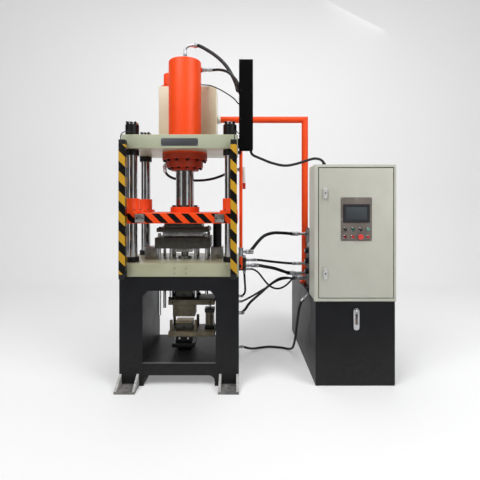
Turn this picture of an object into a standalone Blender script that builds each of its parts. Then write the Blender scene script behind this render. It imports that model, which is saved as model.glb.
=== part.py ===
"""A four-column hydraulic press for pressing powder, with its power unit beside it.

Metres, +Z up. The press is on the left and the power unit on the right, seen from the front, which looks
along +Y. The origin is on the floor, in the middle of the whole machine's length and width.
"""

from math import cos, pi, radians, sin

import bmesh
import bpy
import numpy as np
from mathutils import Matrix, Vector

# Fits and fineness
SEAT = 0.0003  # gap between pieces that touch
SLIDE = 0.0004  # gap round a piece that slides or turns
OVER = 0.010  # how far a cutter runs past what it cuts
FUSE = 0.003  # how far a welded shape runs into its carrier
WIDE_SIDES, ROUND_SIDES, SMALL_SIDES, BOLT_SIDES = 28, 16, 12, 6
CORNER_STEPS = 4
SHARP_ANGLE = radians(35)
MERGE = 1e-6

# Press frame
BASE_W, BASE_D, BASE_H = 0.900, 0.630, 0.820
BASE_WALL, BASE_ROOF = 0.025, 0.040
LEG_W, WINDOW_Z, WINDOW_H, WINDOW_CHAMFER = 0.1745, 0.172, 0.543, 0.042
ARCH_H, ARCH_R, ARCH_INSET = 0.080, 0.045, 0.0075  # the last is how far it stops short of the window's width
TUNNEL_INSET = 0.0355  # likewise for the pocket inside the lower rail
BASE_OPENING_W, BASE_OPENING_D = 0.450, 0.300  # hole in the roof, under the table
FOOT_W, FOOT_REACH, FOOT_H, FOOT_HOLE_R = 0.150, 0.130, 0.016, 0.013
RIB_T, RIB_H, RIB_INSET = 0.018, 0.093, 0.001
TABLE_H, TABLE_CORNER_R = 0.100, 0.018
HEAD_SHORT_X, HEAD_SHORT_Y, HEAD_H = 0.015, 0.030, 0.105  # the crosshead is this much smaller than the base
DAYLIGHT = 0.870  # table top to crosshead
COLUMN_R, COLUMN_INSET_X, COLUMN_INSET_Y = 0.040, 0.070, 0.100  # the insets are from the base's sides
COLLAR_R, LOWER_COLLAR_H, UPPER_COLLAR_H = 0.053, 0.040, 0.045
NUT_R, NUT_H, COLUMN_TIP_H, JACK_R, JACK_H = 0.052, 0.088, 0.020, 0.009, 0.026
JACKS = 4

# Cylinder and ram
CYLINDER_R, CYLINDER_H, CYLINDER_BORE_R, CYLINDER_ROOF = 0.135, 0.660, 0.105, 0.060
CROWN_H, BOSS_R, BOSS_H = 0.012, 0.030, 0.028
FLANGE_R, FLANGE_H = 0.185, 0.060
GLAND_R, GLAND_H, GLAND_LIP_R, GLAND_LIP_H = 0.150, 0.062, 0.115, 0.023
HEAD_BOLT_R, HEAD_BOLT_H = 0.012, 0.014
FLANGE_BOLTS, GLAND_BOLTS, RAM_BOLTS = 12, 12, 8
TOP_FITTING_R, TOP_FITTING_RISE, TOP_FITTING_REACH = 0.012, 0.136, 0.084
SIDE_FITTING_R, SIDE_FITTING_REACH, SIDE_FITTING_DROP = 0.011, 0.065, 0.067
ROD_R, PISTON_H, PISTON_REST = 0.075, 0.110, 0.030
RAM_FLANGE_R, RAM_FLANGE_H = 0.120, 0.045

# Platen and its tools
SHUT_HEIGHT = 0.300  # table top to platen, with the platen down on its stop
PLATEN_SHORT_X, PLATEN_SHORT_Y, PLATEN_H = 0.020, 0.055, 0.080  # also smaller than the base
BUSHING_R, BUSHING_H, BUSHING_FLANGE_R, BUSHING_FLANGE_H = 0.056, 0.112, 0.078, 0.020
PAD_W, PAD_H, PAD_T, PAD_INSET = 0.070, 0.062, 0.012, 0.138
HOLDER_INSET, HOLDER_D, HOLDER_H = 0.070, 0.240, 0.044  # insets from the sides of the die plate
PUNCH_PLATE_INSET, PUNCH_PLATE_D, PUNCH_PLATE_H = 0.010, 0.260, 0.032
PUNCH_BAR_INSET, PUNCH_BAR_D, PUNCH_BAR_H = 0.055, 0.220, 0.036
STOP_BLOCK_W, STOP_BLOCK_D, STOP_BLOCK_H, STOP_GAP = 0.098, 0.140, 0.095, 0.001  # gap to the die plate
STOP_POST_R = 0.036

# Die set
DIE_INSET, DIE_D, DIE_H, DIE_Z = 0.0555, 0.300, 0.086, 0.094  # inside the window; over the table
INSERT_W, INSERT_H = 0.140, 0.037
LOWER_PUNCH_R, LOWER_PUNCH_FOOT_R, LOWER_PUNCH_FOOT_H = 0.030, 0.055, 0.020
PUNCH_BELOW_DIE = 0.010
PILLAR_R, PILLAR_INSET, PILLAR_Y, PILLAR_HEADROOM = 0.013, 0.030, 0.110, 0.010
LEFT_PILLAR_DROP, RIGHT_PILLAR_DROP = 0.447, 0.280  # below the table top
YOKE_D, YOKE_PAST_RODS, YOKE_PAST_FLOAT = 0.220, 0.020, 0.046
UPPER_YOKE_Z, UPPER_YOKE_H, LOWER_YOKE_H = 0.555, 0.041, 0.036
PULL_ROD_R, PULL_ROD_SHARE, PULL_ROD_Y = 0.014, 0.2273, 0.080  # share of the die plate's width
CENTRE_BLOCK_W, CENTRE_BLOCK_D, CENTRE_BLOCK_H = 0.180, 0.140, 0.105
BLOCK_HOLE_R, BLOCK_HOLE_PITCH, BLOCK_HOLE_DEPTH, BLOCK_HOLE_RISE = 0.007, 0.062, 0.030, 0.021
STOP_PAD_W, STOP_PAD_D, STOP_PAD_H = 0.140, 0.120, 0.070
LOWER_POST_R, LOWER_POST_H = 0.012, 0.090

# Ejector in the base
EJECTOR_R, EJECTOR_BORE_R, EJECTOR_FLOOR = 0.039, 0.025, 0.020
EJECTOR_COLLAR_R, EJECTOR_COLLAR_H = 0.060, 0.012
EJECTOR_FLANGE_W, EJECTOR_FLANGE_Z, EJECTOR_FLANGE_H = 0.186, 0.205, 0.033
EJECTOR_HEAD_W, EJECTOR_HEAD_H = 0.130, 0.061
EJECTOR_ROD_R, EJECTOR_PISTON_H, ROD_REST = 0.018, 0.030, 0.004
FLOAT_INSET, FLOAT_CAP_W, FLOAT_CAP_H, FLOAT_R, FLOAT_H = 0.0675, 0.080, 0.032, 0.034, 0.170
FLOAT_BORE_R, FLOAT_ROD_R, FLOAT_ROD_DROP, FLOAT_FLOOR = 0.016, 0.012, 0.130, 0.030

# Tank, valve and pipes on the press
HEADER_W, HEADER_D, HEADER_H, HEADER_WALL, HEADER_Y = 0.500, 0.300, 0.503, 0.006, 0.145
HEADER_HOLE_R = 0.022
SUCTION_R, SUCTION_Z, SUCTION_Y, SUCTION_WELD_R, SUCTION_WELD_L = 0.030, 0.262, 0.235, 0.040, 0.030
SUCTION_X, SUCTION_FOOT_R, SUCTION_FOOT_H = 0.040, 0.050, 0.016
PREFILL_R, PREFILL_FLANGE_R, PREFILL_FLANGE_H, PREFILL_H = 0.045, 0.066, 0.018, 0.134
PREFILL_X, PREFILL_Y, PREFILL_NECK_R = -0.177, 0.225, 0.034
CURTAIN_W, CURTAIN_D, CURTAIN_INSET, CURTAIN_AWAY = 0.048, 0.060, 0.038, 0.006
CURTAIN_DROP, CURTAIN_RISE = 0.0063, 0.0537  # below the table's underside, over the crosshead's
BRACKET_W, BRACKET_H, BRACKET_RISE = 0.030, 0.024, 0.025
DUCT_W, DUCT_D, DUCT_H, DUCT_WALL, DUCT_AWAY, DUCT_FRONT = 0.107, 0.120, 0.686, 0.003, 0.0085, 0.050
DUCT_LUG_H, DUCT_LUG_RISE = 0.060, 0.020
SIDE_PIPE_R, SIDE_PIPE_AWAY, SIDE_PIPE_Y, SIDE_PIPE_DROP, SIDE_PIPE_TOP = 0.014, 0.017, 0.035, 0.098, 0.050
CLAMP_W, CLAMP_H, TEE_R, TEE_H, TEE_RISE, TEE_REACH = 0.040, 0.026, 0.020, 0.046, 0.046, 0.024
MANIFOLD_W, MANIFOLD_D, MANIFOLD_H, MANIFOLD_Y, MANIFOLD_RISE = 0.060, 0.180, 0.110, 0.165, -0.020
PORT_R, UPPER_PORT_REACH, LOWER_PORT_REACH = 0.012, 0.054, 0.050
UPPER_PORT_SHARES, LOWER_PORT_SHARES = (0.78, 0.66), (0.34, 0.33)  # of the manifold's length and height

# Power unit
UNIT_AWAY = 0.576  # from the press's base to the tank
TANK_W, TANK_L, TANK_H, TANK_WALL = 0.600, 1.280, 0.635, 0.008
FILLER_R, FILLER_X, FILLER_FROM_REAR, CAP_R, CAP_H, CAP_PLUG_H = 0.030, 0.200, 0.130, 0.045, 0.055, 0.012
LEVEL_W, LEVEL_H, LEVEL_T, LEVEL_Z, LEVEL_X = 0.045, 0.165, 0.020, 0.422, 0.005
RETURN_PORT_R, RETURN_PORT_Y, RETURN_PORT_Z, RETURN_PORT_REACH = 0.012, 0.300, 0.618, 0.036
CABINET_D, CABINET_H, CABINET_WALL = 0.250, 1.031, 0.003
RIM_LEFT, RIM_RIGHT, RIM_END, RIM_T, RIM_LIP = 0.024, 0.006, 0.024, 0.026, 0.016
DOOR_T, DOOR_GAP, DOOR_SKIN, DOOR_EDGE = 0.022, 0.002, 0.003, 0.020
PANEL_W, PANEL_H, PANEL_T, PANEL_X, PANEL_Z = 0.234, 0.327, 0.003, 0.007, 0.430
SCREEN_W, SCREEN_H, SCREEN_T, SCREEN_DROP = 0.200, 0.138, 0.006, 0.051
LATCH_W, LATCH_H, LATCH_T, LATCH_GRIP_T, LATCH_X = 0.030, 0.084, 0.004, 0.014, 0.046
LATCH_SHARES = (0.805, 0.189)  # heights on the door
BEZEL_R, BEZEL_H, BUTTON_R, BUTTON_LIFT = 0.0150, 0.007, 0.0115, 0.0052
CAP_EDGE_Z, CAP_TOP_Z, CAP_TOP_R = 0.0115, 0.0130, 0.0086  # heights over the panel
SELECTOR_Z, GRIP_Z, GRIP_W, GRIP_L, GRIP_H = 0.0100, 0.0085, 0.007, 0.020, 0.008
MUSHROOM_R, MUSHROOM_STEM_R = 0.021, 0.010
MUSHROOM_Z, MUSHROOM_EDGE_Z, MUSHROOM_TOP_Z = 0.0123, 0.0183, 0.0243
OPERATOR_PITCH, OPERATOR_ROWS_Z, OPERATOR_ROW_PITCH = 0.0573, 0.087, 0.057
OPERATORS = (
    (
        ("selector", "left_selector"), ("green", "start_button"),
        ("selector", "right_selector"), ("green", "run_button"),
    ),
    (
        ("red", "return_button"), ("red", "stop_button"),
        ("mushroom", "emergency_stop"), ("red", "down_button"),
    ),
)
MOTOR_R, MOTOR_L, MOTOR_Y, MOTOR_AXIS_H = 0.110, 0.400, 0.760, 0.150
MOTOR_FOOT_W, MOTOR_FOOT_START, MOTOR_FOOT_L, MOTOR_NECK_W, MOTOR_NECK_H = 0.230, 0.060, 0.210, 0.110, 0.055
COWL_R, COWL_L, BELL_R, BELL_L = 0.116, 0.070, 0.090, 0.120
PUMP_W, PUMP_L, PUMP_FOOT_W = 0.120, 0.160, 0.080
VALVE_X, VALVE_Y, VALVE_W, VALVE_D, VALVE_H = 0.037, 0.465, 0.100, 0.170, 0.515
SOLENOID_R, SOLENOID_REACH, SOLENOID_Y = 0.024, 0.030, 0.057
SOLENOID_SHARES = (0.27, 0.45, 0.62)  # heights on the valve tower
VALVE_PORTS = (  # height and depth as shares of the tower, and the reach beyond it
    (0.902, 0.794, 0.082),
    (0.378, 0.794, 0.082),
    (0.211, 0.794, 0.120),
    (0.155, 0.529, 0.075),
    (0.102, 0.882, 0.075),
)
GAUGE_R, GAUGE_T, GAUGE_STEM_R, GAUGE_STEM_L = 0.031, 0.028, 0.008, 0.020
GAUGE_RISE_SHARE = 0.74

# Hoses: diameter, then the route that each one takes, from its first fitting
TOP_HOSE = 0.026, (
    (-0.5037, -0.260, 2.6913), (-0.472, -0.260, 2.6913), (-0.436, -0.266, 2.672), (-0.360, -0.283, 2.620),
    (-0.292, -0.305, 2.559), (-0.234, -0.335, 2.485), (-0.190, -0.370, 2.400), (-0.164, -0.400, 2.335),
    (-0.1505, -0.418, 2.285),
)
SIDE_HOSE = 0.020, (
    (-0.3877, -0.260, 2.4883), (-0.355, -0.260, 2.4883), (-0.310, -0.290, 2.480), (-0.268, -0.338, 2.458),
    (-0.225, -0.390, 2.425), (-0.188, -0.432, 2.380), (-0.163, -0.455, 2.343), (-0.1480, -0.470, 2.312),
)
CONTROL_CABLE = 0.020, (
    (-0.0437, -0.465, 1.835), (-0.0437, -0.465, 1.776), (-0.025, -0.472, 1.748), (0.041, -0.495, 1.716),
    (0.119, -0.505, 1.684), (0.217, -0.505, 1.6645), (0.310, -0.500, 1.680), (0.395, -0.490, 1.708),
    (0.450, -0.482, 1.722), (0.500, -0.472, 1.714), (0.526, -0.468, 1.688), (0.526, -0.468, 1.6667),
)
PRESSURE_HOSE = 0.024, (
    (-0.0767, -0.225, 0.9663), (-0.058, -0.225, 0.9663), (-0.028, -0.214, 0.985), (0.025, -0.188, 1.048),
    (0.082, -0.155, 1.096), (0.160, -0.105, 1.116), (0.245, -0.045, 1.112), (0.320, 0.008, 1.103),
    (0.360, 0.025, 1.0998), (0.3927, 0.025, 1.0998),
)
LIFT_HOSE = 0.020, (
    (-0.0234, -0.0446, 0.8726), (0.000, -0.0446, 0.8726), (0.060, -0.036, 0.867), (0.120, -0.020, 0.857),
    (0.200, 0.002, 0.845), (0.290, 0.019, 0.834), (0.350, 0.025, 0.830), (0.3927, 0.025, 0.8300),
)
LOWER_HOSE = 0.022, (
    (-0.0274, -0.1238, 0.8363), (-0.002, -0.1238, 0.8363), (0.050, -0.118, 0.832), (0.084, -0.112, 0.824),
    (0.162, -0.085, 0.806), (0.238, -0.045, 0.777), (0.285, -0.005, 0.756), (0.325, 0.025, 0.744),
    (0.3547, 0.025, 0.7440),
)
LOOP_HOSE = 0.012, (
    (-0.0774, -0.170, 0.812), (-0.055, -0.170, 0.812), (-0.016, -0.165, 0.808), (0.027, -0.158, 0.781),
    (0.063, -0.150, 0.736), (0.104, -0.140, 0.684), (0.152, -0.120, 0.643), (0.203, -0.098, 0.627),
    (0.253, -0.076, 0.636), (0.296, -0.055, 0.660), (0.332, -0.036, 0.692), (0.368, -0.020, 0.7151),
    (0.3997, -0.020, 0.7151),
)
EJECTOR_HOSE = 0.018, (
    (-0.1377, -0.290, 0.470), (-0.116, -0.290, 0.470), (-0.082, -0.280, 0.500), (-0.045, -0.262, 0.547),
    (0.041, -0.222, 0.613), (0.110, -0.180, 0.663), (0.170, -0.125, 0.694), (0.215, -0.070, 0.707),
    (0.260, -0.020, 0.708), (0.305, 0.018, 0.700), (0.360, 0.0400, 0.6878), (0.3997, 0.0400, 0.6878),
)
RETURN_HOSE = 0.020, (
    (0.4123, -0.275, 0.5923), (0.397, -0.275, 0.577), (0.380, -0.268, 0.548), (0.366, -0.250, 0.490),
    (0.361, -0.210, 0.410), (0.361, -0.145, 0.3165), (0.361, -0.080, 0.205), (0.358, -0.015, 0.112),
    (0.350, 0.050, 0.050), (0.325, 0.115, 0.0175), (0.260, 0.165, 0.0108), (0.150, 0.185, 0.0108),
    (0.060, 0.160, 0.0120), (-0.005, 0.100, 0.026), (-0.055, 0.035, 0.055), (-0.105, -0.015, 0.086),
    (-0.1377, -0.015, 0.0860),
)
HOSES = {
    "top_hose": TOP_HOSE,
    "side_hose": SIDE_HOSE,
    "control_cable": CONTROL_CABLE,
    "pressure_hose": PRESSURE_HOSE,
    "lift_hose": LIFT_HOSE,
    "lower_hose": LOWER_HOSE,
    "loop_hose": LOOP_HOSE,
    "ejector_hose": EJECTOR_HOSE,
    "return_hose": RETURN_HOSE,
}
HOSE_STEPS = 24  # samples in each stretch of a route
HOSE_POINT_SHARE = 2.5  # diameters between a hose's points
HOSE_ROUND_STEPS = 2

# Sizes and places that follow from the ones above
WINDOW_W = BASE_W - 2 * LEG_W
ARCH_W, TUNNEL_W = WINDOW_W - 2 * ARCH_INSET, WINDOW_W - 2 * TUNNEL_INSET
FILLER_Y = TANK_L - FILLER_FROM_REAR
DIE_W, FLOAT_X = WINDOW_W - 2 * DIE_INSET, WINDOW_W / 2 - FLOAT_INSET
PILLAR_X, PULL_ROD_X = DIE_W / 2 - PILLAR_INSET, DIE_W * PULL_ROD_SHARE
HOLDER_W, PUNCH_PLATE_W = DIE_W - 2 * HOLDER_INSET, DIE_W - 2 * PUNCH_PLATE_INSET
PUNCH_BAR_W = DIE_W - 2 * PUNCH_BAR_INSET
YOKE_LEFT, YOKE_RIGHT = PULL_ROD_X + YOKE_PAST_RODS, FLOAT_X + YOKE_PAST_FLOAT
YOKE_W, YOKE_X = YOKE_LEFT + YOKE_RIGHT, (YOKE_RIGHT - YOKE_LEFT) / 2
STOP_X = DIE_W / 2 + STOP_GAP + STOP_BLOCK_W / 2
HEAD_W, HEAD_D = BASE_W - HEAD_SHORT_X, BASE_D - HEAD_SHORT_Y
PLATEN_W, PLATEN_D = BASE_W - PLATEN_SHORT_X, BASE_D - PLATEN_SHORT_Y
COLUMN_PITCH_X, COLUMN_PITCH_Y = BASE_W - 2 * COLUMN_INSET_X, BASE_D - 2 * COLUMN_INSET_Y
PRESS_X = -(UNIT_AWAY + TANK_W) / 2
FRONT_Y = (FOOT_REACH - TANK_L) / 2
PRESS_Y = FRONT_Y + BASE_D / 2
UNIT_X = (BASE_W + UNIT_AWAY) / 2
TABLE_Z = BASE_H + SEAT
TABLE_TOP = TABLE_Z + TABLE_H
HEAD_Z = TABLE_TOP + DAYLIGHT
HEAD_TOP = HEAD_Z + HEAD_H
FLANGE_Z = HEAD_Z - SEAT - FLANGE_H
GLAND_Z = FLANGE_Z - SEAT - GLAND_H
CYLINDER_TOP = HEAD_TOP + CYLINDER_H
PLATEN_Z = TABLE_TOP + SHUT_HEIGHT
PLATEN_TOP = PLATEN_Z + PLATEN_H
DIE_BOTTOM = TABLE_TOP + DIE_Z
DIE_TOP = DIE_BOTTOM + DIE_H
HOLDER_Z = PLATEN_Z - SEAT - HOLDER_H
PUNCH_PLATE_Z = HOLDER_Z - PUNCH_PLATE_H
EJECTOR_TOP = EJECTOR_FLANGE_Z + EJECTOR_FLANGE_H + EJECTOR_HEAD_H
LOWER_YOKE_Z = EJECTOR_TOP + SEAT
LOWER_YOKE_TOP = LOWER_YOKE_Z + LOWER_YOKE_H
FLOAT_Z = LOWER_YOKE_TOP + SEAT
TANK_TOP = TANK_H + SEAT
CABINET_TOP = TANK_TOP + CABINET_H
HINGE_X = TANK_W / 2 - RIM_RIGHT - DOOR_GAP
DOOR_W = TANK_W - RIM_LEFT - RIM_RIGHT - 2 * DOOR_GAP
DOOR_H = CABINET_H - 2 * RIM_END - 2 * DOOR_GAP
DOOR_Z = TANK_TOP + RIM_END + DOOR_GAP
HEADER_BOTTOM = HEAD_TOP + SEAT
HEADER_TOP = HEADER_BOTTOM + HEADER_H
COLUMNS = {
    f"column_{depth}_{side}": (x * COLUMN_PITCH_X / 2, y * COLUMN_PITCH_Y / 2)
    for depth, y in (("front", -1), ("rear", 1))
    for side, x in (("left", -1), ("right", 1))
}


def finish(name, colour, roughness, metallic=0.0):
    """A plain painted or bare surface; the colour is a linear one."""
    material = bpy.data.materials.new(name)
    material.use_nodes = True
    shader = material.node_tree.nodes["Principled BSDF"]
    shader.inputs["Base Color"].default_value = (*colour, 1.0)
    shader.inputs["Roughness"].default_value = roughness
    shader.inputs["Metallic"].default_value = metallic
    return material


def empty(name, place, parent=None):
    """A frame that pieces are placed in."""
    frame = bpy.data.objects.new(name, None)
    bpy.context.scene.collection.objects.link(frame)
    frame.location, frame.parent = place, parent
    return frame


def piece(name, shape, surface, parent=None, place=(0, 0, 0), turn=(0, 0, 0)):
    """Makes a shape into a named object, smooth where it is round."""
    bmesh.ops.recalc_face_normals(shape, faces=shape.faces)
    mesh = bpy.data.meshes.new(name)
    shape.to_mesh(mesh)
    shape.free()
    mesh.materials.append(surface)
    mesh.shade_smooth()
    mesh.set_sharp_from_angle(angle=SHARP_ANGLE)
    obj = bpy.data.objects.new(name, mesh)
    bpy.context.scene.collection.objects.link(obj)
    obj.location, obj.rotation_euler, obj.parent = place, turn, parent
    return obj


def combine(obj, shape, operation):
    """Welds a shape to a piece, or cuts it away."""
    name = f"{obj.name}_{operation.lower()}_{len(obj.modifiers)}"
    helper = piece(name, shape, obj.data.materials[0], obj.parent, obj.location, obj.rotation_euler)
    helper.hide_render = True
    helper.display_type = "WIRE"
    modifier = obj.modifiers.new(operation.title(), "BOOLEAN")
    modifier.operation = operation
    modifier.object = helper


def weld(obj, shape):
    combine(obj, shape, "UNION")


def cut(obj, shape):
    combine(obj, shape, "DIFFERENCE")


def block(low, high, shape=None):
    """A box between two corners."""
    shape = shape or bmesh.new()
    low, high = Vector(low), Vector(high)
    place = Matrix.Translation((low + high) / 2) @ Matrix.Diagonal((*(high - low), 1))
    bmesh.ops.create_cube(shape, size=1, matrix=place)
    return shape


def centred(width, depth, low, high, x=0, y=0, shape=None):
    """An upright box about a place on the floor plan."""
    return block((x - width / 2, y - depth / 2, low), (x + width / 2, y + depth / 2, high), shape)


def rod(radius, start, end, sides=SMALL_SIDES, shape=None):
    """A round bar between two points."""
    shape = shape or bmesh.new()
    start, end = Vector(start), Vector(end)
    along = end - start
    place = Matrix.Translation((start + end) / 2) @ along.to_track_quat("Z", "Y").to_matrix().to_4x4()
    bmesh.ops.create_cone(
        shape, cap_ends=True, segments=sides, radius1=radius, radius2=radius, depth=along.length,
        matrix=place,
    )
    return shape


def upright(radius, low, high, x=0, y=0, sides=SMALL_SIDES, shape=None):
    return rod(radius, (x, y, low), (x, y, high), sides, shape)


def ring_of(count, radius, start=0.0):
    """Places spaced evenly round a circle."""
    angles = [start + 2 * pi * i / count for i in range(count)]
    return [(radius * cos(a), radius * sin(a)) for a in angles]


def turned(profile, sides=ROUND_SIDES, closed=False):
    """Spins a (radius, height) profile about the upright axis; a closed one makes a ring or a cup."""
    shape = bmesh.new()
    points = [shape.verts.new((radius, 0, height)) for radius, height in profile]
    pairs = zip(points, points[1:] + points[:1] if closed else points[1:])
    edges = [shape.edges.new(pair) for pair in pairs]
    bmesh.ops.spin(
        shape, geom=points + edges, cent=(0, 0, 0), axis=(0, 0, 1), angle=2 * pi, steps=sides,
        use_duplicate=False,
    )
    bmesh.ops.remove_doubles(shape, verts=shape.verts, dist=MERGE)
    return shape


def extruded(outline, direction, shape=None):
    """Carries a flat outline along a direction."""
    shape = shape or bmesh.new()
    face = shape.faces.new([shape.verts.new(point) for point in outline])
    grown = bmesh.ops.extrude_face_region(shape, geom=[face])
    moved = [part for part in grown["geom"] if isinstance(part, bmesh.types.BMVert)]
    bmesh.ops.translate(shape, vec=direction, verts=moved)
    return shape


def rounded(width, depth, radius):
    """Points round a rectangle with round corners, centred on the origin."""
    points = []
    for corner, (sx, sy) in enumerate(((1, 1), (-1, 1), (-1, -1), (1, -1))):
        for step in range(CORNER_STEPS + 1):
            angle = (corner + step / CORNER_STEPS) * pi / 2
            points.append((
                sx * (width / 2 - radius) + radius * cos(angle),
                sy * (depth / 2 - radius) + radius * sin(angle),
            ))
    return points


def at_columns(make):
    """One shape made at all four columns."""
    shape = bmesh.new()
    for place in COLUMNS.values():
        make(place, shape)
    return shape


def column_bores(low, high):
    radius = COLUMN_R + SEAT
    return at_columns(lambda at, shape: upright(radius, low, high, *at, ROUND_SIDES, shape))


def window_outline(y):
    """The front window: a rectangle with its top corners cut off."""
    half, top, cut_off = WINDOW_W / 2, WINDOW_Z + WINDOW_H, WINDOW_CHAMFER
    points = (
        (-half, WINDOW_Z), (half, WINDOW_Z), (half, top - cut_off),
        (half - cut_off, top), (cut_off - half, top), (-half, top - cut_off),
    )
    return [(x, y, z) for x, z in points]


def arch_outline(y):
    """The gap under the base, round at its top corners."""
    points = [(-ARCH_W / 2, -OVER), (ARCH_W / 2, -OVER)]
    for side, start in ((1, 0), (-1, pi / 2)):
        for step in range(CORNER_STEPS + 1):
            angle = start + step / CORNER_STEPS * pi / 2
            points.append((
                side * (ARCH_W / 2 - ARCH_R) + ARCH_R * cos(angle),
                ARCH_H - ARCH_R + ARCH_R * sin(angle),
            ))
    return [(x, y, z) for x, z in points]


def foot_shapes():
    """Foot plates in front and behind, welded to the legs."""
    plates = bmesh.new()
    for side in (-1, 1):
        for end in (-1, 1):
            x, y = side * (BASE_W - FOOT_W) / 2, end * (BASE_D / 2 + FOOT_REACH / 2 - FUSE / 2)
            centred(FOOT_W, FOOT_REACH + FUSE, 0, FOOT_H, x, y, plates)
    return plates


def foot_ribs():
    """Two sloping ribs on each foot plate."""
    ribs = bmesh.new()
    for side in (-1, 1):
        for end in (-1, 1):
            for offset in (-1, 1):
                x = side * (BASE_W - FOOT_W) / 2 + offset * (FOOT_W / 2 - RIB_INSET - RIB_T / 2) - RIB_T / 2
                wall, tip = end * (BASE_D / 2 - FUSE), end * (BASE_D / 2 + FOOT_REACH - RIB_INSET)
                low = FOOT_H - FUSE
                outline = [(x, wall, low), (x, tip, low), (x, tip, FOOT_H + FUSE), (x, wall, RIB_H)]
                extruded(outline, (RIB_T, 0, 0), ribs)
    return ribs


def base_frame(press, paint):
    """Welded plate: two hollow legs, a lower rail and a roof with a hole for the die set."""
    half_w, half_d, deep = BASE_W / 2, BASE_D / 2, BASE_D + 2 * OVER
    base = piece("base_frame", block((-half_w, -half_d, 0), (half_w, half_d, BASE_H)), paint, press)
    cut(base, extruded(window_outline(-half_d - OVER), (0, deep, 0)))
    cut(base, extruded(arch_outline(-half_d - OVER), (0, deep, 0)))
    hollow_w, hollow_d = LEG_W - 2 * BASE_WALL, BASE_D - 2 * BASE_WALL
    legs = bmesh.new()
    for side in (-1, 1):
        centred(hollow_w, hollow_d, -OVER, BASE_H - BASE_ROOF, side * (half_w - LEG_W / 2), 0, legs)
    cut(base, legs)
    cut(base, centred(TUNNEL_W, hollow_d, ARCH_H - OVER, WINDOW_Z - BASE_WALL))
    window_top = WINDOW_Z + WINDOW_H
    cut(base, centred(BASE_OPENING_W, BASE_OPENING_D, window_top - OVER, BASE_H + OVER))
    bores = column_bores(BASE_H - BASE_ROOF - OVER, BASE_H + OVER)
    upright(EJECTOR_R + SEAT, ARCH_H, WINDOW_Z + OVER, 0, 0, ROUND_SIDES, bores)
    cut(base, bores)
    weld(base, foot_shapes())
    weld(base, foot_ribs())
    holes = bmesh.new()
    for side in (-1, 1):
        for end in (-1, 1):
            x, y = side * (BASE_W - FOOT_W) / 2, end * (BASE_D / 2 + FOOT_REACH / 2)
            upright(FOOT_HOLE_R, -OVER, FOOT_H + OVER, x, y, SMALL_SIDES, holes)
    cut(base, holes)


def pillar_places():
    return [(x * PILLAR_X, y * PILLAR_Y) for x in (-1, 1) for y in (-1, 1)]


def pull_rod_places():
    return [(x * PULL_ROD_X, y * PULL_ROD_Y) for x in (-1, 1) for y in (-1, 1)]


def table(press, paint):
    """The bed that the die set stands over; the die pillars and pull rods pass through it."""
    outline = [(x, y, TABLE_Z) for x, y in rounded(BASE_W, BASE_D, TABLE_CORNER_R)]
    bed = piece("table", extruded(outline, (0, 0, TABLE_H)), paint, press)
    bores = column_bores(TABLE_Z - OVER, TABLE_TOP + OVER)
    for at in pillar_places():
        upright(PILLAR_R + SLIDE, TABLE_Z - OVER, TABLE_TOP + OVER, *at, SMALL_SIDES, bores)
    for at in pull_rod_places():
        upright(PULL_ROD_R + SLIDE, TABLE_Z - OVER, TABLE_TOP + OVER, *at, SMALL_SIDES, bores)
    cut(bed, bores)


def crosshead(press, paint):
    outline = [(x, y, HEAD_Z) for x, y in rounded(HEAD_W, HEAD_D, TABLE_CORNER_R)]
    beam = piece("crosshead", extruded(outline, (0, 0, HEAD_H)), paint, press)
    bores = column_bores(HEAD_Z - OVER, HEAD_TOP + OVER)
    upright(CYLINDER_R + SEAT, HEAD_Z - OVER, HEAD_TOP + OVER, 0, 0, WIDE_SIDES, bores)
    cut(beam, bores)


def column(name, at, press, steel):
    """A ground column with its lower collar, upper collar and nut screwed on."""
    lower_top = TABLE_TOP + SEAT + LOWER_COLLAR_H
    upper_low, nut_low = HEAD_Z - SEAT - UPPER_COLLAR_H, HEAD_TOP + SEAT
    nut_top = nut_low + NUT_H
    profile = (
        (0, BASE_H - BASE_ROOF), (COLUMN_R, BASE_H - BASE_ROOF),
        (COLUMN_R, TABLE_TOP + SEAT), (COLLAR_R, TABLE_TOP + SEAT),
        (COLLAR_R, lower_top), (COLUMN_R, lower_top),
        (COLUMN_R, upper_low), (COLLAR_R, upper_low), (COLLAR_R, HEAD_Z - SEAT), (COLUMN_R, HEAD_Z - SEAT),
        (COLUMN_R, nut_low), (NUT_R, nut_low), (NUT_R, nut_top), (COLUMN_R, nut_top),
        (COLUMN_R, nut_top + COLUMN_TIP_H), (0, nut_top + COLUMN_TIP_H),
    )
    made = piece(name, turned(profile), steel, press, (*at, 0))
    jacks = bmesh.new()
    for x, y in ring_of(JACKS, (COLUMN_R + NUT_R) / 2, pi / JACKS):
        upright(JACK_R / 2, nut_top - FUSE, nut_top + JACK_H, x, y, BOLT_SIDES, jacks)
    weld(made, jacks)


def bolts_under(count, circle, level, radius=HEAD_BOLT_R, height=HEAD_BOLT_H):
    """Bolt heads that stand down from a face."""
    heads = bmesh.new()
    for x, y in ring_of(count, circle, pi / count):
        upright(radius, level - height, level + FUSE, x, y, BOLT_SIDES, heads)
    return heads


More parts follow.
